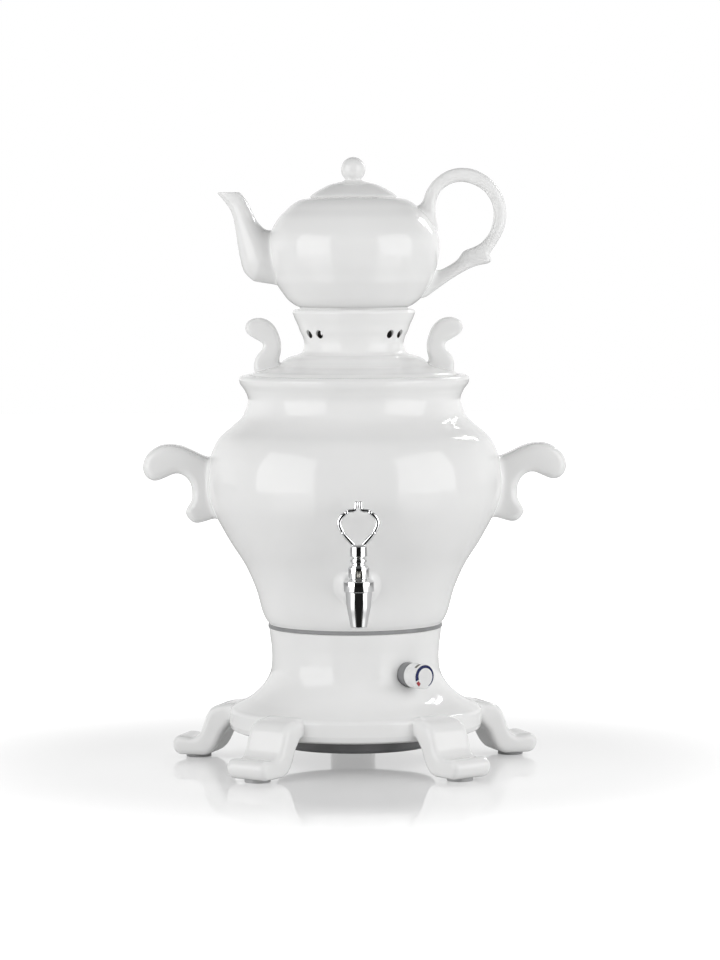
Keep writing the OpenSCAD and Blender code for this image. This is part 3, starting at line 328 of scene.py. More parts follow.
def shade_as_turned(obj, profile):
    """Each corner on the profile's surface takes the exact normal of the turned shape."""
    pts = np.array(profile)
    nxt, prv = np.roll(pts, -1, 0), np.roll(pts, 1, 0)
    along = nxt - prv
    along /= np.maximum(np.linalg.norm(along, axis=1), 1e-9)[:, None]
    normal2 = np.stack([along[:, 1], -along[:, 0]], 1)
    mesh = obj.data
    co = np.empty(len(mesh.vertices) * 3)
    mesh.vertices.foreach_get("co", co)
    co = co.reshape(-1, 3) / MM
    rz = np.stack([np.hypot(co[:, 0], co[:, 1]), co[:, 2]], 1)
    nearest = np.empty(len(rz), int)
    for i in range(0, len(rz), 4000):
        gap = np.linalg.norm(rz[i:i + 4000, None] - pts[None], axis=2)
        nearest[i:i + 4000] = gap.argmin(1)
    radial = co[:, :2] / np.maximum(rz[:, :1], 1e-9)
    exact = np.concatenate([radial * normal2[nearest][:, :1], normal2[nearest][:, 1:]], 1)
    normals = []
    for polygon in mesh.polygons:
        flat = np.array(polygon.normal)
        for v in polygon.vertices:
            n = exact[v]
            normals.append(tuple(n) if float(n @ flat) > 0.8 else tuple(flat))
    mesh.normals_split_custom_set(normals)


def drill(obj, cutters, profile=None):
    """Cuts holes and gives the skin back the shading of its turned profile."""
    collection = bpy.data.collections.new(obj.name + " cutters")
    for tool in cutters:
        bpy.context.scene.collection.objects.unlink(tool)
        collection.objects.link(tool)
    obj.modifiers.clear()
    holes = obj.modifiers.new("holes", "BOOLEAN")
    holes.operand_type = "COLLECTION"
    holes.collection = collection
    holes.solver = "EXACT"
    work_in(obj)
    for tool in cutters:
        bpy.data.objects.remove(tool)
    if profile:
        shade_as_turned(obj, profile)


def cutter(shape, place, **sizes):
    """A solid to cut with, made by one of bmesh's makers and then put in its place."""
    mesh = bpy.data.meshes.new("cutter")
    bm = bmesh.new()
    shape(bm, **sizes)
    bm.transform(place)
    bm.to_mesh(mesh)
    bm.free()
    obj = bpy.data.objects.new("cutter", mesh)
    bpy.context.scene.collection.objects.link(obj)
    return obj


def rod_between(a, b, radius, sides=48):
    """A cutter: a closed cylinder between two points, in millimetres."""
    a, b = Vector(a) * MM, Vector(b) * MM
    place = Matrix.Translation((a + b) / 2) @ (b - a).to_track_quat("Z", "Y").to_matrix().to_4x4()
    return cutter(bmesh.ops.create_cone, place, cap_ends=True, segments=sides, radius1=radius * MM,
                  radius2=radius * MM, depth=(b - a).length)


def block(low, high):
    """A cutter: a box between two corners, in millimetres."""
    low, high = Vector(low) * MM, Vector(high) * MM
    place = Matrix.Translation((low + high) / 2) @ Matrix.Diagonal((*(high - low), 1))
    return cutter(bmesh.ops.create_cube, place, size=1)


print("the camera's side is the direction", [round(v, 3) for v in bearing(0)])

# %% [markdown]
# ## The base
#
# The base is a second casting: a narrow waist that opens into a wide flange. It hides the heater, and it
# has a round recess for the control's collar and a square one at the back for the mains inlet. It is
# turned like the vessel, and the recesses are drilled afterwards, as a caster would cut them.

# %% Profile of the base
flange_r, waist_r = 99.5, 65.7
base_outside = spline(
    [(flange_r, flange_top_z), (flange_r - 1.6, flange_top_z + 2.6), (flange_r - 5.5, flange_top_z + 4.6)]
    + [(blend(flange_r, waist_r, a), flange_top_z + b) for a, b in (
        (0.45, 9.8), (0.68, 16.2), (0.84, 22.8), (0.955, 30.7))]
    + [(waist_r + 0.2, flange_top_z + 39.5), (waist_r + 0.4, base_top_z - 16),
       (waist_r + 1.4, base_top_z - 8), (waist_r + 2.1, base_top_z - 2), (waist_r + 2.2, base_top_z - 0.8)])
base_inside = [p for p in beside(base_outside, 6.5) if flange_top_z < p[1] < base_top_z - 9]
base_profile = (
    softened([(51, base_z + 6.5), (51, base_z), (flange_r - 5, base_z), (flange_r - 1.2, base_z + 1.6),
              (flange_r, base_z + 5.5), (flange_r, flange_top_z - 1)], 1.2, closed=False)
    + base_outside
    + softened([(waist_r + 1.8, base_top_z), (56, base_top_z), (56, base_top_z - 7)], 0.8, closed=False)
    + base_inside[::-1]
    + [(flange_r - 6.5, flange_top_z - 2), (flange_r - 6.5, base_z + 6.5)]
)
print("base profile:", len(base_profile), "points")

# %% Base with its recesses
base = turned("porcelain_base", base_profile, "samovar", "porcelain", 200)
knob_out = bearing(36)
knob_z = middle_z("thermostat_collar")
knob_seat = radius_at(base_outside, knob_z) - 1
inlet_z = middle_z("power_inlet")
inlet_face = radius_at(base_outside, inlet_z) - 3.4


def on_knob_axis(reach):
    """The point of the control's axis at a reach from the samovar's own axis."""
    return knob_out * reach + Vector((0, 0, knob_z))


drill(base, [
    rod_between(on_knob_axis(knob_seat - 12), on_knob_axis(knob_seat + 12), 5.4),
    rod_between(on_knob_axis(knob_seat), on_knob_axis(knob_seat + 12), 10.0, 64),
    block((-14.3, 30, inlet_z - 10.55), (14.3, flange_r, inlet_z + 10.55)),
    block((-17, inlet_face, inlet_z - 13.25), (17, flange_r, inlet_z + 13.25)),
], base_profile)
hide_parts("base_shell")
print("base:", len(base.data.polygons), "faces")

# %% [markdown]
# ## The gasket and the bottom cover
#
# A moulded rubber ring keeps glaze from touching glaze in the seam. The cover is a shallow dark tray,
# held by the three tie rods, with slots that let the heater's space breathe. Both are turned, and the
# slots are cut out as the mould's ribs would leave them.

# %% Gasket
gasket = turned("rubber_gasket", softened(
    [(58, base_top_z), (seam_r - 0.1, base_top_z), (seam_r + 0.2, base_top_z + 0.6),
     (seam_r + 0.2, seam_z - 0.6), (seam_r - 0.1, seam_z), (58, seam_z)], 0.5), "samovar", "seam_rubber", 200)
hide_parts("seam_gasket")
print("gasket:", round(seam_z - base_top_z, 2), "mm high")

# %% Bottom cover
cover_low = low_z("bottom_cover")
cover_profile = softened(
    [(0, cover_low), (61, cover_low), (63, cover_low + 2.2), (63, base_z), (60.8, base_z),
     (60.8, cover_low + 3), (0, cover_low + 3)], 1.2)
cover = turned("moulded_bottom_cover", cover_profile, "samovar", "dark_plastic", 160)
cutters = [block((7 * i - 1.25, -17, cover_low - 1), (7 * i + 1.25, 17, cover_low + 5)) for i in range(-3, 4)]
for a in (-20, 75, 245):
    x, y, _ = 44 * bearing(a)
    cutters.append(rod_between((x, y, cover_low - 1), (x, y, cover_low + 5), 4.9, 32))
drill(cover, cutters, cover_profile)
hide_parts("bottom_cover")
print("cover with", len(cutters), "slots and holes")

# %% [markdown]
# ## The vented lid
#
# The lid is a stepped disc with a collar. Steam rises through the collar to the teapot's foot, and what is
# too much leaves by four pairs of round vents. The crown has a shallow seat that centres the teapot. One
# profile runs from the skirt over the step to the crown and back under the lid.

# %% Profile of the lid
lid_r, waist, crown_r = 80.6, 39.2, 48.3
# The solid has a plain slope where the finished lid has a step, and the handles' seats follow that slope
solid_slope = spline([(blend(lid_r, waist, a), lid_z + b) for a, b in (
    (0.053, 7), (0.30, 9.6), (0.57, 15.7), (0.70, 18.4), (0.79, 20.5))])
lid_top = spline(
    [(lid_r - 2.2, lid_z + 7)]
    + [(blend(lid_r, waist, a), lid_z + b) for a, b in (
        (0.27, 9.4), (0.46, 11.5), (0.53, 13.2), (0.61, 16.0), (0.70, 18.3), (0.81, 19.7), (0.91, 20.9),
        (0.97, 23.0))]
    + [(waist, lid_z + 28.2)]
    + [(blend(waist, crown_r, a), lid_z + b) for a, b in ((0.10, 34), (0.36, 39), (0.56, 44), (0.80, 48.6))]
    + [(crown_r, crown_z - 2.6)])
lid_under = [p for p in beside(lid_top, 5) if lid_z + 1.5 < p[1] < pot_z - 7]
lid_profile = (
    softened([(71.8, lid_z + 1), (71.8, lid_z - 6), (75, lid_z - 6), (75.8, lid_z - 5), (75.8, lid_z),
              (lid_r - 1.6, lid_z), (lid_r, lid_z + 1.6), (lid_r, lid_z + 4.4), (lid_r - 0.7, lid_z + 6.2)],
             0.8, closed=False)
    + lid_top
    + softened([(crown_r - 0.4, crown_z - 0.9), (crown_r - 2, crown_z), (44.3, crown_z),
                (43.5, crown_z - 0.9), (43.5, pot_z), (34.2, pot_z), (34.2, pot_z - 6)], 0.8, closed=False)
    + lid_under[::-1]
)
print("lid profile:", len(lid_profile), "points")

# %% Lid with its vents
lid = turned("porcelain_lid", lid_profile, "lid", "porcelain", 200)
vents = []
vent_z = Vector((0, 0, lid_z + 37))
for a in [half + side * 50 + pair for half in (0, 180) for side in (-1, 1) for pair in (-8.25, 8.25)]:
    vents.append(rod_between(bearing(a) * 26 + vent_z, bearing(a) * 55 + vent_z, 3.25, 40))
drill(lid, vents, lid_profile)
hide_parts("samovar_lid")
print("lid with", len(vents), "vents")

# %% [markdown]
# ## The teapot and its lid
#
# The teapot is cast, and its lid is a small dome with a ball for a knob and a pinhole that lets air in
# as it pours. Behind the spout the wall is pierced, which holds the leaves back. The holes go through the
# wall and the spout's root alike, so one function gives the cutters for both.

# %% Teapot
pot_r, pot_foot_r, pot_lid_r = 67.6, 42.6, 34.0
pot_belly_z = pot_z + 52
pot_outside = spline(
    [(pot_foot_r, pot_z + 5.6), (pot_foot_r + 3.4, pot_z + 7.2)]
    + between_corners((pot_foot_r, pot_z + 3), (pot_r, pot_belly_z), (
        (0.34, 0.163), (0.496, 0.259), (0.732, 0.439), (0.828, 0.58), (0.928, 0.7245), (0.984, 0.898)))
    + [(pot_r, pot_belly_z + 1.5)]
    + between_corners((pot_r, pot_belly_z), (pot_lid_r, mouth_z), (
        (0.014, 0.19), (0.092, 0.364), (0.253, 0.595), (0.43, 0.753), (0.58, 0.872), (0.76, 0.962)))
    + [(pot_lid_r + 1.6, mouth_z - 0.3)])
pot_inside = [p for p in beside(pot_outside, 4) if p[1] > pot_z + 9 and p[0] > 30.5]
pot_profile = (
    [(0, pot_z + 2.5)]
    + softened([(20, pot_z + 2.5), (pot_foot_r - 5, pot_z + 2.5), (pot_foot_r - 4.5, pot_z),
                (pot_foot_r - 1, pot_z), (pot_foot_r, pot_z + 1), (pot_foot_r, pot_z + 4)], 0.7, closed=False)
    + pot_outside
    + softened([(pot_lid_r + 0.6, mouth_z), (30, mouth_z), (30, mouth_z - 4)], 0.7, closed=False)
    + pot_inside[::-1]
    + [(pot_inside[0][0] - 3.5, pot_z + 7.5), (0, pot_z + 6.5)]
)
pot = turned("porcelain_teapot", pot_profile, "teapot", "porcelain", 200)


def strainer():
    """Cutters for the seven holes behind the spout."""
    holes = [(0, 0)] + [(8.4 * math.cos(i * math.pi / 3), 8.4 * math.sin(i * math.pi / 3)) for i in range(6)]
    return [rod_between((-78, y, pot_z + 45 + z), (-40, y, pot_z + 45 + z), 2.25, 24) for y, z in holes]


drill(pot, strainer(), pot_profile)
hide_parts("teapot_body")
print("teapot:", len(pot.data.polygons), "faces")

# %% Lid of the teapot
knob_ball_r = 9.6
ball_z = high_z("teapot_lid") - knob_ball_r
dome = spline([(pot_lid_r, mouth_z + 1.2), (pot_lid_r - 1.6, mouth_z + 2.8)]
              + [(blend(pot_lid_r, 7, a), mouth_z + b) for a, b in ((0.28, 6.6), (0.56, 10.3), (0.82, 12.2))]
              + [(7.2, mouth_z + 13.6), (6.5, ball_z - 7.3)], 6)
ball = [(knob_ball_r * math.cos(math.radians(t)), ball_z + knob_ball_r * math.sin(math.radians(t)))
        for t in np.linspace(-42, 90, 30)]
ball[-1] = (0, ball[-1][1])
pot_lid_profile = (
    softened([(16, mouth_z + 6.4), (25, mouth_z + 1), (25, mouth_z - 9), (28.4, mouth_z - 9),
              (29.2, mouth_z - 8), (29.2, mouth_z), (pot_lid_r - 0.8, mouth_z)], 0.7, closed=False)
    + dome + ball + [(0, mouth_z + 9)])
pot_lid = turned("porcelain_teapot_lid", pot_lid_profile, "teapot_cover", "porcelain", 160)
drill(pot_lid, [rod_between((0, 14, mouth_z), (0, 14, mouth_z + 20), 1.6, 24)], pot_lid_profile)
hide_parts("teapot_lid")
print("lid of the teapot:", len(pot_lid.data.polygons), "faces")

# %% [markdown]
# ## Handles, feet and spout
#
# These parts are cast or pressed by themselves and luted on with slip while the clay is still damp. The
# potter wipes the joint with a wet finger, and that leaves a small hollow fillet all round.
#
# A bevel on a Boolean's edge could draw that fillet, but it fails where two curved skins meet at a low
# angle. So each piece starts from the solid's own surface. Its seat is pushed a little into the wall, a
# patch of the wall's skin is added just below the glaze, and both are melted into one skin. Slow smoothing
# then rounds the edges, and more of it along the joint draws the fillet.

# %% Smoothing on arrays of points
def arrays(mesh):
    co = np.empty(len(mesh.vertices) * 3)
    mesh.vertices.foreach_get("co", co)
    edges = np.empty(len(mesh.edges) * 2, int)
    mesh.edges.foreach_get("vertices", edges)
    return co.reshape(-1, 3), edges.reshape(-1, 2)


def nearest_on(curve, points):
    """For points in radius and height: the distance to a curve, and the outward normal there."""
    curve = np.array(curve)
    a, b = curve[:-1], curve[1:]
    best = np.full(len(points), 1e9)
    normal = np.zeros((len(points), 2))
    for p, q in zip(a, b):
        d = q - p
        t = np.clip(((points - p) @ d) / (d @ d), 0, 1)
        foot = p + t[:, None] * d
        gap = np.linalg.norm(points - foot, axis=1)
        closer = gap < best
        best[closer] = gap[closer]
        normal[closer] = np.array([d[1], -d[0]]) / np.linalg.norm(d)
    return best, normal


def relax(obj, rounds, weight=1.0, pull=0.5):
    """Moves each vertex towards the middle of its neighbours, as glaze levels itself."""
    co, edges = arrays(obj.data)
    count = len(co)
    degree = np.bincount(edges.ravel(), minlength=count)
    weight = np.broadcast_to(weight, count)[:, None] * pull
    for _ in range(rounds):
        total = np.stack([
            np.bincount(edges[:, 0], co[edges[:, 1], k], count)
            + np.bincount(edges[:, 1], co[edges[:, 0], k], count) for k in range(3)], 1)
        co = co + weight * (total / degree[:, None] - co)
    obj.data.vertices.foreach_set("co", co.ravel())
    obj.data.update()


gap, _ = nearest_on([(0, 0), (0, 2)], np.array([[3, 1]]))
print("a point 3 mm beside an upright line is at", round(float(gap[0]), 2), "mm")

# %% Patch of the wall
def skin_patch(curve, azimuth, half_angle, sink=0.8, depth=4.5, across=28):
    """A closed piece of a turned wall, just below its surface. Azimuth is in degrees from +X."""
    rows = [beside(curve, sink), beside(curve, sink + depth)]
    turns = np.radians(np.linspace(azimuth - half_angle, azimuth + half_angle, across + 1))
    n, m = len(curve), across + 1
    verts = [(r * math.cos(t) * MM, r * math.sin(t) * MM, z * MM)
             for row in rows for r, z in row for t in turns]
    faces = []
    for i in range(n - 1):
        for k in range(across):
            a = i * m + k
            faces.append((a, a + 1, a + 1 + m, a + m))
            b = a + n * m
            faces.append((b, b + m, b + m + 1, b + 1))
    rim = list(range(m)) + [i * m + across for i in range(1, n)]
    rim += [(n - 1) * m + k for k in range(across - 1, -1, -1)] + [i * m for i in range(n - 2, 0, -1)]
    for a, b in zip(rim, rim[1:] + rim[:1]):
        faces.append((b, a, a + n * m, b + n * m))
    return verts, faces


print("a patch of wall:", len(skin_patch(body_outside, 0, 12)[1]), "faces")

# %% Melting a piece into its wall
def joined_mesh(parts):
    """One mesh of several lists of vertices and faces."""
    verts, faces = [], []
    for v, f in parts:
        start = len(verts)
        verts += [tuple(p) for p in v]
        faces += [[start + i for i in face] for face in f]
    return verts, faces


def seated(node, curve, azimuth):
    """A node's vertices and faces, with the seat that lies on the wall pushed into it."""
    co, _ = arrays(frame["nodes"][node].data)
    co = co / MM
    t = math.radians(azimuth)
    local = np.stack([co[:, 0] * math.cos(t) + co[:, 1] * math.sin(t), co[:, 2]], 1)
    true = np.stack([np.hypot(co[:, 0], co[:, 1]), co[:, 2]], 1)
    gap_a, normal_a = nearest_on(curve, local)
    gap_b, normal_b = nearest_on(curve, true)
    on_wall = np.minimum(gap_a, gap_b) < 0.45
    normal = np.where((gap_a < gap_b)[:, None], normal_a, normal_b)
    out = np.stack([normal[:, 0] * math.cos(t), normal[:, 0] * math.sin(t), normal[:, 1]], 1)
    co[on_wall] -= 3.0 * out[on_wall]
    return co * MM, [tuple(p.vertices) for p in frame["nodes"][node].data.polygons]


def luted(name, node, curve, azimuth, half_angle, body, voxel=0.8, rounds=24, plump=0.3, form=None):
    """A piece's rough form, melted into a patch of the wall that carries it."""
    form = form or seated(node, curve, azimuth)
    verts, faces = joined_mesh([form, skin_patch(curve, azimuth, half_angle)])
    obj = new_object(name, verts, faces, body, "porcelain")
    bm = bmesh.new()
    bm.from_mesh(obj.data)
    bmesh.ops.remove_doubles(bm, verts=bm.verts, dist=1e-6)
    bm.to_mesh(obj.data)
    bm.free()
    remesh = obj.modifiers.new("melt together", "REMESH")
    remesh.mode = "VOXEL"
    remesh.voxel_size = voxel * MM
    work_in(obj)
    smooth(obj.data)
    co, _ = arrays(obj.data)
    normals = np.empty(len(obj.data.vertices) * 3)
    obj.data.vertices.foreach_get("normal", normals)
    co = co + normals.reshape(-1, 3) * plump * MM
    obj.data.vertices.foreach_set("co", co.ravel())
    relax(obj, rounds)
    co, _ = arrays(obj.data)
    co = co / MM
    gap, _ = nearest_on(curve, np.stack([np.hypot(co[:, 0], co[:, 1]), co[:, 2]], 1))
    relax(obj, 50, np.clip(1 - (gap - 3) / 4, 0, 1))
    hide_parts(node)
    return obj


def part_of(curve, low, high):
    return [p for p in curve if low <= p[1] <= high]


print("a side handle starts from", len(seated("side_handle_right", body_outside, 0)[0]), "points")

# %% [markdown]
# ### Handles and feet
#
# The handles come from one mould and the feet from another, so a loop makes each kind. Within a kind only
# the angle on the wall changes.

# %% Side handles
SIDES = {"right": 0, "left": 180}
for side, azimuth in SIDES.items():
    node = "side_handle_" + side
    wall = part_of(body_outside, low_z(node) - 10, high_z(node) + 10)
    handle = luted("porcelain_" + node, node, wall, azimuth, 12, "samovar")
    print(node, len(handle.data.polygons), "faces")

# %% Feet
foot_wall = [(flange_r - 5, base_z + 0.1), (flange_r - 1.2, base_z + 1.6), (flange_r, base_z + 5.5),
             (flange_r, flange_top_z - 1)] + part_of(base_outside, flange_top_z, flange_top_z + 12)
FEET = {"front_left": -126, "front_right": -54, "side_left": 162, "side_right": 18, "rear": 90}
for where, azimuth in FEET.items():
    luted("porcelain_foot_" + where, "foot_" + where, foot_wall, azimuth, 17, "samovar", voxel=0.8, rounds=7)
print(len(FEET), "feet")

# %% Handles of the lid
lid_wall = [p for p in lid_top if 50 < p[0] and p[1] < lid_z + 20]
for side, azimuth in SIDES.items():
    node = "lid_handle_" + side
    luted("porcelain_" + node, node, lid_wall, azimuth, 11, "lid", voxel=0.6, rounds=14, plump=0.2,
          form=seated(node, solid_slope, azimuth))
print(len(SIDES), "handles on the lid")

# %% Handle of the teapot
pot_wall = part_of(pot_outside, pot_z + 8, mouth_z - 1)
pot_handle = luted("porcelain_teapot_handle", "teapot_handle", pot_wall, 0, 15, "teapot", voxel=0.7,
                   rounds=16)
print("handle of the teapot:", len(pot_handle.data.polygons), "faces")

# %% [markdown]
# ### The spout
#
# The spout is a cast tube that narrows from a wide root to its lip. Its rings could follow a curve object,
# but they lean and flatten on the way, so each ring is given by its front edge and its back edge. The
# inner skin is the same tube, thinner by the wall, and it closes in the wall of the pot.

# %% Spout
# Rings from lip to root: front edge and back edge in X and Z, and half the width
spout_rings = spline([
    (-107.0, 95.7, -89.1, 95.9, 6.4), (-99.4, 86.7, -84.4, 90.3, 7.2), (-95.2, 79.4, -80.8, 83.7, 8.6),
    (-93.0, 69.5, -76.5, 74.5, 10.6), (-91.3, 57.2, -71.9, 68.8, 13.4), (-89.3, 45.5, -69.0, 66.6, 15.8),
    (-85.8, 33.6, -66.8, 66.0, 17.6), (-78.3, 26.2, -66.0, 65.8, 18.6)], 4)


def tube(a, b, sides):
    """The faces between two rings of vertices that start at a and at b."""
    return [(a + k, a + (k + 1) % sides, b + (k + 1) % sides, b + k) for k in range(sides)]


def spout_ring(ring, wall, sides=40):
    x0, z0, x1, z1, width = ring
    shrink = 1 - wall / (math.hypot(x0 - x1, z0 - z1) / 2)
    turns = np.linspace(0, 2 * math.pi, sides, endpoint=False)
    reach = shrink * np.cos(turns)
    return np.stack([(x0 + x1) / 2 + (x0 - x1) / 2 * reach, (width - wall) * np.sin(turns),
                     pot_z + (z0 + z1) / 2 + (z0 - z1) / 2 * reach], 1)


def in_pot_wall(ring):
    """The ring moved along X until it lies inside the teapot's wall."""
    wall_r = np.array([radius_at(pot_outside, z) for z in ring[:, 2]]) - 3
    return np.stack([-np.sqrt(wall_r ** 2 - ring[:, 1] ** 2), ring[:, 1], ring[:, 2]], 1)


root, root_wall, spout_wall = (-64.2, 22.6, -64.2, 65.4, 19), 3.6, 2.6
rings = [spout_ring(r, 0) for r in spout_rings] + [in_pot_wall(spout_ring(root, 0))]
rings += [in_pot_wall(spout_ring(root, root_wall))] + [spout_ring(r, spout_wall) for r in spout_rings[::-1]]
sides = len(rings[0])
spout_faces = []
for i in range(len(rings)):
    spout_faces += tube(i * sides, (i + 1) % len(rings) * sides, sides)
pot_spout = luted("porcelain_spout", "teapot_spout", part_of(pot_outside, pot_z + 14, pot_z + 76), 180, 29,
                  "teapot", voxel=0.6, rounds=9, plump=0.15, form=(np.concatenate(rings) * MM, spout_faces))
drill(pot_spout, strainer())
print("spout:", len(pot_spout.data.polygons), "faces")

# %% [markdown]
# ## The tap
#
# The tap is turned from brass and chromed. Its barrel and nozzle are one piece, and a slot in the front of
# the barrel shows the splines of the plug. The bonnet with its bead screws the plug down. All of it is
# turned, as on a lathe, and the edges stay crisper than the glazed ones.

# %% Nozzle and barrel
tap_place = Matrix.Translation((0, -tap_y * MM, 0))
nozzle_low, barrel_z = tap_z - 28.5, tap_z + 1.6
nozzle_side = spline([(6.4, nozzle_low + 0.6), (7.6, barrel_z - 22.5), (9.0, barrel_z - 16),
                      (9.9, barrel_z - 9.5), (10.3, barrel_z - 3)])
tap_profile = (
    softened([(4.2, nozzle_low + 3), (4.2, nozzle_low), (6.1, nozzle_low), (6.4, nozzle_low + 0.6)], 0.35,
             closed=False)[:-1]
    + nozzle_side
    + softened([(10.4, barrel_z - 2.8), (11.6, barrel_z - 2.8), (11.6, barrel_z + 5), (10.4, barrel_z + 5.7),
                (8.1, barrel_z + 6.3), (7.4, barrel_z + 7.6), (8.0, barrel_z + 8.2), (8.0, barrel_z + 16),
                (6.3, barrel_z + 16), (6.3, barrel_z + 6), (5.5, barrel_z - 12), (4.2, barrel_z - 13)],
               0.7, closed=False))
nozzle = turned("chrome_nozzle_and_barrel", tap_profile, "samovar", "chrome", 128, place=tap_place)
pin_low, pin_high = low_z("tap_stop_pin") - 0.3, high_z("tap_stop_pin") + 0.3
drill(nozzle, [block((-2.7, -tap_y - 10, barrel_z + 6.9), (2.7, -tap_y - 5, barrel_z + 13.2)),
               rod_between((0, -tap_y, pin_low), (0, -tap_y, pin_high), 7.1, 96)])
nozzle.modifiers.new("crisp turning", "EDGE_SPLIT").split_angle = math.radians(35)
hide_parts("tap_body")
print("nozzle and barrel:", len(nozzle.data.polygons), "faces")

# %% Pipe and washer
pipe_from = tap_seat_y + 2
pipe_profile = softened([(5.9, tap_seat_y - 14), (6.5, tap_seat_y - 13), (6.5, pipe_from), (9, pipe_from),
                         (9, pipe_from + 1.2), (7.8, pipe_from + 2.6), (6.5, pipe_from + 3.2),
                         (6.5, tap_y - 7), (4, tap_y - 7), (4, tap_seat_y - 14)], 0.8)
pipe_place = Matrix.Translation((0, 0, tap_z * MM)) @ Matrix.Rotation(math.radians(90), 4, "X")
turned("chrome_pipe", pipe_profile, "samovar", "chrome", 96, place=pipe_place)
washer = turned("rubber_washer", softened(
    [(6.7, tap_seat_y), (8.7, tap_seat_y), (8.7, pipe_from), (6.7, pipe_from)], 0.4),
                "samovar", "seal_rubber", 64, place=pipe_place)
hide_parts("tap_seal_outer")
print("the pipe leaves the washer", round(pipe_from, 1), "mm in front of the axis")

# %% Bonnet
bonnet_z = barrel_z + 16
bonnet = turned("chrome_bonnet", softened(
    [(4, bonnet_z), (7.2, bonnet_z), (7.2, bonnet_z + 0.7), (5.6, bonnet_z + 1.5), (5.5, bonnet_z + 2.9),
     (6.4, bonnet_z + 3.3), (6.4, bonnet_z + 5.8), (5.5, bonnet_z + 6.3), (5.2, bonnet_z + 6.8),
     (3.6, bonnet_z + 6.8)], 0.6), "samovar", "chrome", 96, place=tap_place)
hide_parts("tap_bonnet")
print("bonnet from", round(bonnet_z, 1), "mm up")

# %% [markdown]
# ### The plug
#
# The plug is a slim cone with flutes where the barrel's slot shows it. A Boolean with fourteen rods could
# cut them, but the turned rings have points enough to be pushed in by a wave round the axis.

# %% Splined plug
plug_low, plug_high, flutes = barrel_z - 12.6, barrel_z + 15, 14
plug_rows = [(0, plug_low), (5.1, plug_low)] + [
    (blend(5.2, 6.1, k / 12), blend(plug_low, plug_high, k / 12)) for k in range(13)] + [
    (3.4, plug_high + 0.2), (3.4, bonnet_z + 11), (0, bonnet_z + 11)]
verts, faces = turned_mesh(plug_rows, 168, closed=False)
fluted = []
for x, y, z in verts:
    r, t = math.hypot(x, y), math.atan2(y, x)
    depth = 0.0
    if barrel_z + 5.8 < z / MM < barrel_z + 14 and r > 5 * MM:
        depth = 0.55 * MM * (0.5 - 0.5 * math.cos(flutes * t)) ** 0.7
    fluted.append(((r - depth) * math.cos(t), (r - depth) * math.sin(t) - tap_y * MM, z))
plug = new_object("splined_plug", fluted, faces, "tap_turner", "brass")
weigh(plug)
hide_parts("tap_plug")
print("plug with", flutes, "flutes")

# %% Boss of the key
stem_z = bonnet_z + 7.2
loop_z = stem_z + 9.5
turned("chrome_key_boss", softened(
    [(0, stem_z), (5.8, stem_z), (6.6, stem_z + 0.8), (6.6, loop_z - 1.5), (5.6, loop_z - 0.2),
     (3.4, loop_z + 0.3), (0, loop_z - 0.4)], 0.8, closed=False), "tap_turner", "chrome", 96, closed=False,
       place=tap_place)
print("the key's boss ends", round(loop_z, 1), "mm up")

# %% [markdown]
# ## The tap's key
#
# The key is a small casting. Two straight bars rise from its boss, two bows carry on with a bead where they
# meet, and short level bars turn up into a pair of upright horns. A bevelled curve object could make the
# limbs, but its ends stay flat, so each limb is swept as its own run with rounded ends.

# %% Limbs and beads
def swept(points, radii, sides=20):
    """A round limb through points in X and Z with a radius at each, closed by rounded ends."""
    points = [np.array((p[0], 0.0, p[1])) for p in points]
    rings = []
    for end, inner, r in ((points[0], points[1], radii[0]), (points[-1], points[-2], radii[-1])):
        d = (end - inner) / np.linalg.norm(end - inner)
        caps = [(end + d * r * math.sin(a), r * math.cos(a)) for a in np.radians([30, 60, 82])]
        rings.append((d, caps))
    run = [(p, r) for p, r in rings[0][1][::-1]] + list(zip(points, radii)) + [(p, r) for p, r in rings[1][1]]
    verts, faces = [], []
    for i, (p, r) in enumerate(run):
        d = run[min(i + 1, len(run) - 1)][0] - run[max(i - 1, 0)][0]
        d = d / np.linalg.norm(d)
        side = np.array((-d[2], 0, d[0]))
        for k in range(sides):
            t = 2 * math.pi * k / sides
            verts.append(p + r * (math.cos(t) * side + math.sin(t) * np.array((0, 1.0, 0))))
    for i in range(len(run) - 1):
        faces += tube(i * sides, (i + 1) * sides, sides)
    faces.append(tuple(range(sides - 1, -1, -1)))
    faces.append(tuple(range((len(run) - 1) * sides, len(run) * sides)))
    return [v * MM + np.array((0, -tap_y * MM, 0)) for v in verts], faces


def bead(x, z, r, tall=1.0, sides=24):
    rows = [(r * math.cos(a), r * tall * math.sin(a)) for a in np.radians(np.linspace(-90, 90, 15))]
    rows[0], rows[-1] = (0, rows[0][1]), (0, rows[-1][1])
    verts, faces = turned_mesh(rows, sides, closed=False)
    return [np.array(v) + np.array((x, -tap_y, z)) * MM for v in verts], faces


print("a bead:", len(bead(0, 0, 1)[1]), "faces")

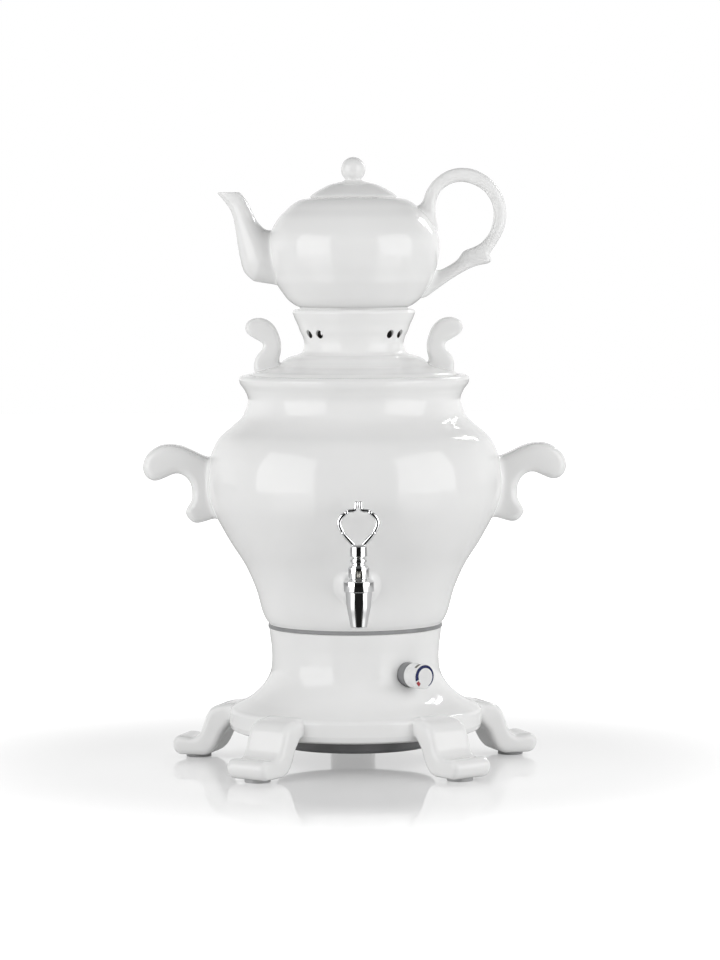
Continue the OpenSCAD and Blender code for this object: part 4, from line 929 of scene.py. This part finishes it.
# %% Loop of the key
half_w = 14.6
limbs = []
for side in (-1, 1):
    def at(x, z):
        return (side * half_w * x, loop_z + z)
    bar = [at(0.27, 0.0), at(0.42, 2.4), at(0.61, 5.4), at(0.78, 8.1)]
    bow = spline([at(0.80, 9.3), at(0.92, 12.2), at(0.99, 15.4), at(0.965, 18.6), at(0.84, 21.5),
                  at(0.66, 23.6)], 6)
    level = spline([at(0.53, 25.3), at(0.42, 25.6), at(0.26, 25.8), at(0.14, 26.8), at(0.11, 29.2),
                    at(0.11, 31.4)], 6)
    limbs += [
        swept(bar, [1.8, 1.85, 1.8, 1.6]),
        swept(bow, list(np.interp(np.linspace(0, 1, len(bow)), [0, 0.12, 0.85, 1], [1.5, 1.85, 1.8, 1.6]))),
        swept(level, list(np.interp(np.linspace(0, 1, len(level)), [0, 0.3, 1], [1.45, 1.5, 1.55]))),
        bead(*at(0.79, 8.7), 1.9), bead(*at(0.62, 24.1), 1.9),
    ]
verts, faces = joined_mesh(limbs)
loop = new_object("chrome_key_loop", verts, faces, "tap_turner", "chrome")
weigh(loop)
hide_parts("tap_key")
print("key loop:", len(limbs), "limbs and beads")

# %% [markdown]
# ## The control knob
#
# The knob is moulded in white plastic, and its ring is printed on the end face by the material further
# down. A small recess behind the face shows where it points. The collar is a grey bushing. Both are
# turned about the control's own axis.

# %% Knob
turn_out = knob_out.to_track_quat("Z", "Y").to_matrix().to_4x4()
knob_r, knob_l = 9.8, 14.6
knob_base = knob_seat + 8.3
knob_place = Matrix.Translation(on_knob_axis(knob_base) * MM) @ turn_out
knob_profile = softened([(0, 1.0), (8.6, 1.0), (8.6, 0), (9.2, 0), (9.6, 0.8), (knob_r, knob_l - 3),
                         (knob_r, knob_l - 0.9), (knob_r - 0.9, knob_l), (0, knob_l)], 0.8, closed=False)
knob = turned("moulded_knob", knob_profile, "heat_control", "knob_plastic", 128, closed=False,
              place=knob_place)
mark_angle = math.radians(118)
mark = block((-2.6, knob_r - 0.55, knob_l - 4.3), (2.6, knob_r + 3, knob_l - 1.5))
mark.data.transform(knob_place @ Matrix.Rotation(mark_angle - math.radians(90), 4, "Z"))
drill(knob, [mark])
smooth(knob.data)
weigh(knob)
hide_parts("control_knob")
print("knob:", knob_l, "mm long")

# %% Collar
collar_place = Matrix.Translation(on_knob_axis(knob_seat) * MM) @ turn_out
collar = turned("moulded_collar", softened([(5, 0), (9.4, 0), (9.4, 7.2), (8.7, 8), (5, 8)], 0.5), "samovar",
                "collar_plastic", 96, place=collar_place)
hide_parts("thermostat_collar")
print("collar:", len(collar.data.polygons), "faces")

# %% [markdown]
# ## Small moulded and pressed parts
#
# The pads and the inlet keep their solids' shape, with their sharp edges eased as a mould leaves them. The
# solids' triangles are joined into whole faces first, so that the Bevel modifier finds the real edges only.

# %% Pads and inlet
def eased(name, node, body, slot, width, segments=2):
    """A node's surface with a small rounding along its edges."""
    bm = bmesh.new()
    bm.from_mesh(frame["nodes"][node].data)
    bmesh.ops.remove_doubles(bm, verts=bm.verts, dist=2e-6)
    bmesh.ops.dissolve_limit(bm, angle_limit=math.radians(0.5), verts=bm.verts, edges=bm.edges)
    bm.verts.index_update()
    faces = [[v.index for v in face.verts] for face in bm.faces]
    obj = new_object(name, [v.co for v in bm.verts], faces, body, slot)
    bm.free()
    bevel = obj.modifiers.new("eased edges", "BEVEL")
    bevel.width = width * MM
    bevel.segments = segments
    bevel.limit_method = "ANGLE"
    bevel.angle_limit = math.radians(28)
    weigh(obj)
    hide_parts(node)


for where in FEET:
    eased("rubber_pad_" + where, "foot_pad_" + where, "samovar", "pad_rubber", 0.5, 3)
eased("moulded_inlet", "power_inlet", "samovar", "dark_plastic", 0.35)
print(len(FEET), "pads and the inlet")

# %% [markdown]
# ## Materials
#
# Each slot of the part gets one material, and the solids that stay in sight or lie inside wear the same
# ones. Nothing real has one flat colour, so each material varies a little in tone, in gloss and in relief.
# The nodes could be laid out by hand in the editor; a few short functions write the same nodes.

# %% Nodes in short
class Tree:
    """A short way to write shader nodes. A value is a number, a vector, a colour or another node's output."""

    def __init__(self, node_tree):
        self.nodes, self.links = node_tree.nodes, node_tree.links

    def put(self, socket, value):
        if isinstance(value, bpy.types.NodeSocket):
            self.links.new(value, socket)
        else:
            socket.default_value = value

    def node(self, kind, **inputs):
        """A node of a kind. An input's name is written with underscores for its spaces."""
        node = self.nodes.new("ShaderNode" + kind)
        for name, value in inputs.items():
            self.put(node.inputs[name.replace("_", " ")], value)
        return node

    def math(self, operation, a, b=0.0):
        node = self.node("Math")
        node.operation = operation
        self.put(node.inputs[0], a)
        self.put(node.inputs[1], b)
        return node.outputs["Value"]

    def vector_math(self, operation, a, b, output="Vector"):
        node = self.node("VectorMath")
        node.operation = operation
        self.put(node.inputs[0], a)
        self.put(node.inputs[1], b)
        return node.outputs[output]

    def above(self, value, low):
        return self.math("GREATER_THAN", value, low)

    def below(self, value, high):
        return self.math("LESS_THAN", value, high)

    def product(self, first, *others):
        for other in others:
            first = self.math("MULTIPLY", first, other)
        return first

    def distance(self, x, y):
        return self.math("SQRT", self.math("ADD", self.product(x, x), self.product(y, y)))

    def span(self, value, start, end, low=0.0, high=1.0, kind="LINEAR"):
        """Runs from low to high while the value goes from start to end."""
        node = self.node("MapRange", Value=value, From_Min=start, From_Max=end, To_Min=low, To_Max=high)
        node.interpolation_type = kind
        return node.outputs["Result"]

    def smooth(self, value, start, end, low=0.0, high=1.0):
        return self.span(value, start, end, low, high, "SMOOTHSTEP")

    def mixed(self, share, a, b):
        """Two shaders, of which the second has the given share."""
        node = self.node("MixShader")
        for socket, value in zip(node.inputs, (share, a.outputs[0], b.outputs[0])):
            self.put(socket, value)
        return node.outputs[0]


print("node writers:", [name for name in vars(Tree) if name[0] != "_"])

# %% The nodes of one material
NOISE_RANGE = (0.3, 0.7)


class Surface(Tree):
    """The nodes of one material, round its main shader."""

    def __init__(self, name, ior=1.5, specular=0.5, anisotropic=0.0):
        self.material = bpy.data.materials.new(name)
        self.material.use_nodes = True
        super().__init__(self.material.node_tree)
        self.shade(IOR=ior, Specular_IOR_Level=specular, Anisotropic=anisotropic)
        self.place = self.node("TexCoord").outputs["Object"]

    def shade(self, **inputs):
        for name, value in inputs.items():
            self.put(self.nodes["Principled BSDF"].inputs[name.replace("_", " ")], value)

    def noise(self, scale, detail=3.0, stretch=None):
        where = self.place
        if stretch:
            where = self.node("Mapping", Vector=where, Scale=stretch).outputs["Vector"]
        return self.node("TexNoise", Vector=where, Scale=scale, Detail=detail).outputs["Fac"]

    def tones(self, factor, dark, light):
        """A colour that follows a noise between two tones."""
        node = self.node("ValToRGB", Fac=factor)
        for element, at, color in zip(node.color_ramp.elements, NOISE_RANGE, (dark, light)):
            element.position = at
            element.color = (*color, 1)
        return node.outputs["Color"]

    def follow(self, factor, low, high):
        """A number that follows a noise from low to high."""
        return self.span(factor, *NOISE_RANGE, low, high)

    def mix(self, share, a, b):
        node = self.node("Mix")
        node.data_type = "RGBA"
        self.put(node.inputs["Factor"], share)
        for socket, value in zip([i for i in node.inputs if i.type == "RGBA"], (a, b)):
            self.put(socket, value if isinstance(value, bpy.types.NodeSocket) else (*value, 1))
        return [o for o in node.outputs if o.type == "RGBA"][0]

    def relief(self, height, depth_mm):
        bump = self.node("Bump", Strength=1.0, Distance=depth_mm * MM, Height=height)
        self.shade(Normal=bump.outputs["Normal"])


print("noise runs from", NOISE_RANGE[0], "to", NOISE_RANGE[1], "between two tones")

# %% Materials that vary
def varied(name, dark, light, tone_scale, rough, rough_scale, relief_scale, depth_mm, metallic=0.0,
           stretch=None, **constants):
    """A material whose tone, gloss and relief each follow a noise of their own."""
    tree = Surface(name, **constants)
    tree.shade(Base_Color=tree.tones(tree.noise(tone_scale, 4.0, stretch), dark, light),
               Roughness=tree.follow(tree.noise(rough_scale, 3.0, stretch), *rough), Metallic=metallic)
    tree.relief(tree.noise(relief_scale, 2.0, stretch), depth_mm)
    return tree.material


def glaze():
    """White glaze: a slow swell of the body below it and a fine orange peel on top. The inside of the lid's
    collar and the bores of its vents are painted near black, a painted shade."""
    tree = Surface("porcelain glaze", ior=1.52, specular=0.36)
    white = tree.tones(tree.noise(11, 4.0), (0.855, 0.856, 0.852), (0.885, 0.885, 0.88))
    x, y, z = tree.node("SeparateXYZ", Vector=tree.place).outputs
    # Painted shade: the inside of the lid's collar and the bores of its vents are painted near black, where
    # little light gets in
    at_vents = tree.above(z, (lid_z + 33.6) * MM)
    inner_r = tree.math("ADD", 37.5 * MM, tree.product(at_vents, 2.4 * MM))
    collar_shade = tree.product(tree.below(tree.distance(x, y), inner_r), tree.above(z, (lid_z + 22) * MM),
                             tree.below(z, (pot_z - 0.5) * MM))
    tree.shade(Base_Color=tree.mix(collar_shade, white, (0.1, 0.097, 0.092)),
               Roughness=tree.follow(tree.noise(95), 0.07, 0.11))
    tree.relief(tree.math("ADD", tree.noise(24, 1.0), tree.product(tree.noise(620, 1.0), 0.012)), 0.025)
    return tree.material


looks = {
    "porcelain": glaze(),
    "seam_rubber": varied(
        "gasket rubber", (0.235, 0.238, 0.24), (0.30, 0.303, 0.307), 60, (0.42, 0.6), 90, 900, 0.03),
    "pad_rubber": varied(
        "pad rubber", (0.40, 0.40, 0.405), (0.49, 0.49, 0.495), 80, (0.5, 0.7), 120, 1400, 0.04),
    "seal_rubber": varied(
        "seal rubber", (0.03, 0.03, 0.032), (0.05, 0.05, 0.053), 80, (0.55, 0.75), 120, 1400, 0.03),
    "dark_plastic": varied(
        "dark moulding", (0.15, 0.151, 0.155), (0.2, 0.201, 0.206), 45, (0.4, 0.55), 70, 2600, 0.03),
    "collar_plastic": varied(
        "grey moulding", (0.2, 0.203, 0.208), (0.26, 0.263, 0.268), 50, (0.35, 0.5), 70, 2400, 0.015),
    "chrome": varied(
        "bright chrome", (0.83, 0.835, 0.84), (0.88, 0.883, 0.887), 40, (0.015, 0.035), 160, 300, 0.001,
        metallic=1.0),
    "steel": varied(
        "plain steel", (0.5, 0.51, 0.52), (0.64, 0.645, 0.65), 90, (0.24, 0.4), 200, 900, 0.01,
        metallic=1.0, stretch=(1, 1, 14), anisotropic=0.3),
    "brass": varied(
        "plated brass", (0.33, 0.32, 0.29), (0.5, 0.485, 0.45), 120, (0.16, 0.3), 260, 900, 0.008,
        metallic=1.0),
    "insulator": varied(
        "bare ceramic", (0.7, 0.69, 0.66), (0.8, 0.79, 0.76), 300, (0.6, 0.8), 300, 1800, 0.03),
}
print(len(looks), "materials so far")

# %% [markdown]
# ### The printed ring of the knob
#
# The print is drawn by its radius and its angle on the end face, so it turns with the knob. A blue sickle
# runs clockwise from thick to thin, and a short red block marks the off position. Pieces of coloured
# skin could be laid on the face instead, but print has no height.

# %% Knob with its print
def printed_knob():
    tree = Surface("knob with its print", ior=1.49, specular=0.3)
    offset = tree.vector_math("SUBTRACT", tree.place, on_knob_axis(knob_base + knob_l) * MM)
    across, up, _ = turn_out.to_3x3().col
    u, v, w = [tree.vector_math("DOT_PRODUCT", offset, Vector(axis) / (knob_r * MM), "Value")
               for axis in (across, up, knob_out)]
    radius = tree.distance(u, v)
    turn = tree.math("MODULO", tree.math("SUBTRACT", math.radians(200 + 360), tree.math("ARCTAN2", v, u)),
                     math.radians(360))
    share = tree.math("DIVIDE", turn, math.radians(264))
    inner = tree.math("ADD", 0.60, tree.product(share, 0.21))
    outer = tree.math("SUBTRACT", 0.925, tree.product(tree.math("POWER", share, 4.0), 0.06))

    on_face = tree.above(w, -0.05)
    blue = tree.product(on_face, tree.above(radius, inner), tree.below(radius, outer), tree.below(share, 1.0))
    red = tree.product(on_face, tree.above(radius, 0.66), tree.below(radius, 0.93),
                       tree.above(turn, math.radians(327)), tree.below(turn, math.radians(353)))
    mark_u, mark_v = math.cos(mark_angle), math.sin(mark_angle)
    outward = tree.math("ADD", tree.product(u, mark_u), tree.product(v, mark_v))
    sideways = tree.math("ABSOLUTE", tree.math("SUBTRACT", tree.product(u, mark_v), tree.product(v, mark_u)))
    # Painted shade: the pointer's recess behind the face is painted dark grey on the white knob
    recess = tree.product(tree.above(outward, 0.85), tree.below(sideways, 0.266), tree.above(w, -0.44),
                          tree.below(w, -0.152))
    color = tree.tones(tree.noise(70), (0.78, 0.78, 0.78), (0.83, 0.83, 0.83))
    color = tree.mix(blue, color, (0.005, 0.011, 0.085))
    color = tree.mix(red, color, (0.36, 0.05, 0.06))
    color = tree.mix(recess, color, (0.18, 0.175, 0.15))
    tree.shade(Base_Color=color, Roughness=tree.follow(tree.noise(160), 0.2, 0.3))
    tree.relief(tree.noise(1500, 2.0), 0.01)
    return tree.material


looks["knob_plastic"] = printed_knob()
print("materials:", ", ".join(looks))

# %% Dress every piece
slots = {subpart["node"]: subpart["material_slot"] for subpart in frame["record"]["subparts"]}
dressed = [(obj, slots[name]) for name, obj in frame["nodes"].items()]
dressed += [(obj, obj["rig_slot"]) for obj in bpy.context.scene.objects
            if obj.type == "MESH" and "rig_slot" in obj]
for obj, slot in dressed:
    obj.data.materials.clear()
    obj.data.materials.append(looks[slot])
print(len(looks), "materials on", len(slots), "solids and the pieces over them")

# %% [markdown]
# ## Floor, light and camera
#
# A shop shows such a piece in a plain white studio. Two tall soft boxes stand left and right of the camera
# with a dark gap between them, which is the black line down each chromed part. Two small lamps behind on
# the right give the glaze its sparks. The floor is white and a little polished: near the object it shows
# the shadow and a faint reflection, and farther out it glows to plain white. A curved backdrop could do the
# same, but it would need lamps of its own.

# %% The dark side of the studio
def cosine_of(degrees):
    return math.cos(math.radians(degrees))


def towards_camera(tree, x, y):
    """1 within 30 degrees of the camera's side, where the studio is dark, and 0 elsewhere. Also the
    cosine of the angle from the camera's side, and the level distance."""
    level = tree.distance(x, y)
    cosine = tree.math("DIVIDE", tree.product(y, -1.0), level)
    return tree.smooth(cosine, cosine_of(33), cosine_of(30)), cosine, level


print("dark within 30 degrees of the camera, cosine", round(cosine_of(30), 3))

# %% Floor
floor_mesh = bpy.data.meshes.new("floor")
floor_mesh.from_pydata([(-6, -6, 0), (6, -6, 0), (6, 6, 0), (-6, 6, 0)], [], [(0, 1, 2, 3)])
floor = bpy.data.objects.new("floor", floor_mesh)
bpy.context.scene.collection.objects.link(floor)
floor_material = bpy.data.materials.new("white floor")
floor_material.use_nodes = True
floor_material.node_tree.nodes.clear()
tree = Tree(floor_material.node_tree)
x, y, _ = tree.node("SeparateXYZ", Vector=tree.node("TexCoord").outputs["Object"]).outputs
path = tree.node("LightPath").outputs
front, cosine, distance = towards_camera(tree, x, y)

# What only mirrors see: the floor is dark in front of the object, and lit on both sides of that sector
next_to_front = tree.product(tree.smooth(cosine, cosine_of(70), cosine_of(60)),
                             tree.math("SUBTRACT", 1.0, front))
lit = tree.product(next_to_front, path["Is Glossy Ray"], tree.smooth(distance, 0.3, 0.5, 0.0, 0.9))
dark = tree.product(front, tree.smooth(distance, 0.2, 0.35), path["Is Glossy Ray"])
grey = tree.math("SUBTRACT", 0.8, tree.product(dark, 0.78))
paint = tree.node("CombineColor", Red=grey, Green=grey, Blue=grey)
matt = tree.node("BsdfDiffuse", Color=paint.outputs[0])
gloss = tree.node("BsdfGlossy", Roughness=0.05)
shine = tree.product(tree.node("Fresnel", IOR=1.42).outputs[0], tree.smooth(distance, 0.3, 0.5, 1.0, 0.0))

# What only the camera sees: the floor's own glow, which grows with the distance
glow = tree.product(path["Is Camera Ray"], tree.smooth(distance, 0.2, 0.65, 0.27, 1.0))
emission = tree.node("Emission", Strength=tree.math("ADD", glow, lit))
both = tree.node("AddShader")
tree.put(both.inputs[0], tree.mixed(shine, matt, gloss))
tree.put(both.inputs[1], emission.outputs[0])
tree.node("OutputMaterial", Surface=both.outputs[0])
floor.data.materials.append(floor_material)
print("floor:", len(floor_material.node_tree.nodes), "nodes")

# %% Lamps
def soft_box(name, azimuth, distance, z, width, height, radiance, aim_z):
    """A lamp at an azimuth from the camera's side, turned to the object's axis."""
    data = bpy.data.lights.new(name, "AREA")
    data.shape = "RECTANGLE"
    data.size, data.size_y = width, height
    data.energy = radiance * math.pi * width * height
    obj = bpy.data.objects.new(name, data)
    obj.location = bearing(azimuth) * distance + Vector((0, 0, z))
    aim = Vector((0, 0, aim_z)) - obj.location
    obj.rotation_mode = "QUATERNION"
    obj.rotation_quaternion = aim.to_track_quat("-Z", "Y")
    obj.visible_camera = False
    bpy.context.scene.collection.objects.link(obj)
    return obj


lamps = [
    soft_box("soft box left", -57, 1.9, 0.85, 1.75, 1.7, 2.6, 0.85),
    soft_box("soft box right", 57, 1.9, 0.85, 1.75, 1.7, 2.6, 0.85),
    soft_box("spark high", 131, 1.02, 0.99, 0.06, 0.2, 20, 0.3),
    soft_box("spark low", 138, 1.07, 0.82, 0.075, 0.24, 20, 0.3),
]
print(len(lamps), "lamps")

# %% Room
# For everything but the camera, the room is dark behind the camera and bright behind the object
world = bpy.data.worlds.new("studio")
bpy.context.scene.world = world
world.use_nodes = True
world.node_tree.nodes.clear()
tree = Tree(world.node_tree)
x, y, z = tree.node("SeparateXYZ", Vector=tree.node("TexCoord").outputs["Generated"]).outputs
front = tree.product(towards_camera(tree, x, y)[0], tree.smooth(z, 0.55, 0.75, 1.0, 0.0))
behind = tree.product(tree.smooth(y, -0.1, 0.6), tree.smooth(z, 0.3, 0.6, 1.0, 0.0))
tone = tree.math("ADD", tree.smooth(z, 0.0, 0.75, 0.46, 0.27), tree.product(behind, 0.48))
tone = tree.product(tone, tree.math("SUBTRACT", 1.0, tree.product(front, 0.97)))
white = (1, 1, 1, 1)
room = tree.node("Background", Color=white, Strength=tone)
seen = tree.node("Background", Color=white)
tree.node("OutputWorld", Surface=tree.mixed(tree.node("LightPath").outputs["Is Camera Ray"], room, seen))
print("room:", len(world.node_tree.nodes), "nodes")

# %% Camera
camera_data = bpy.data.cameras.new("camera")
camera_data.lens = 138.75
camera_data.sensor_width = 36
camera_data.sensor_fit = "AUTO"
camera_data.clip_start, camera_data.clip_end = 0.05, 50
camera = bpy.data.objects.new("camera", camera_data)
camera.location = (-0.06094, -2.90936, 0.410)
camera.rotation_mode = "XYZ"
turned_to = (Matrix.Rotation(math.radians(-1.2836), 4, "Z") @ Matrix.Rotation(math.radians(90 - 3.67), 4, "X")
             @ Matrix.Rotation(math.radians(-0.25), 4, "Z"))
camera.rotation_euler = turned_to.to_euler("XYZ")
bpy.context.scene.collection.objects.link(camera)
bpy.context.scene.camera = camera
bpy.context.scene.view_settings.view_transform = "Standard"
print("camera", round(camera.location.length, 3), "m from the origin")

# %% [markdown]
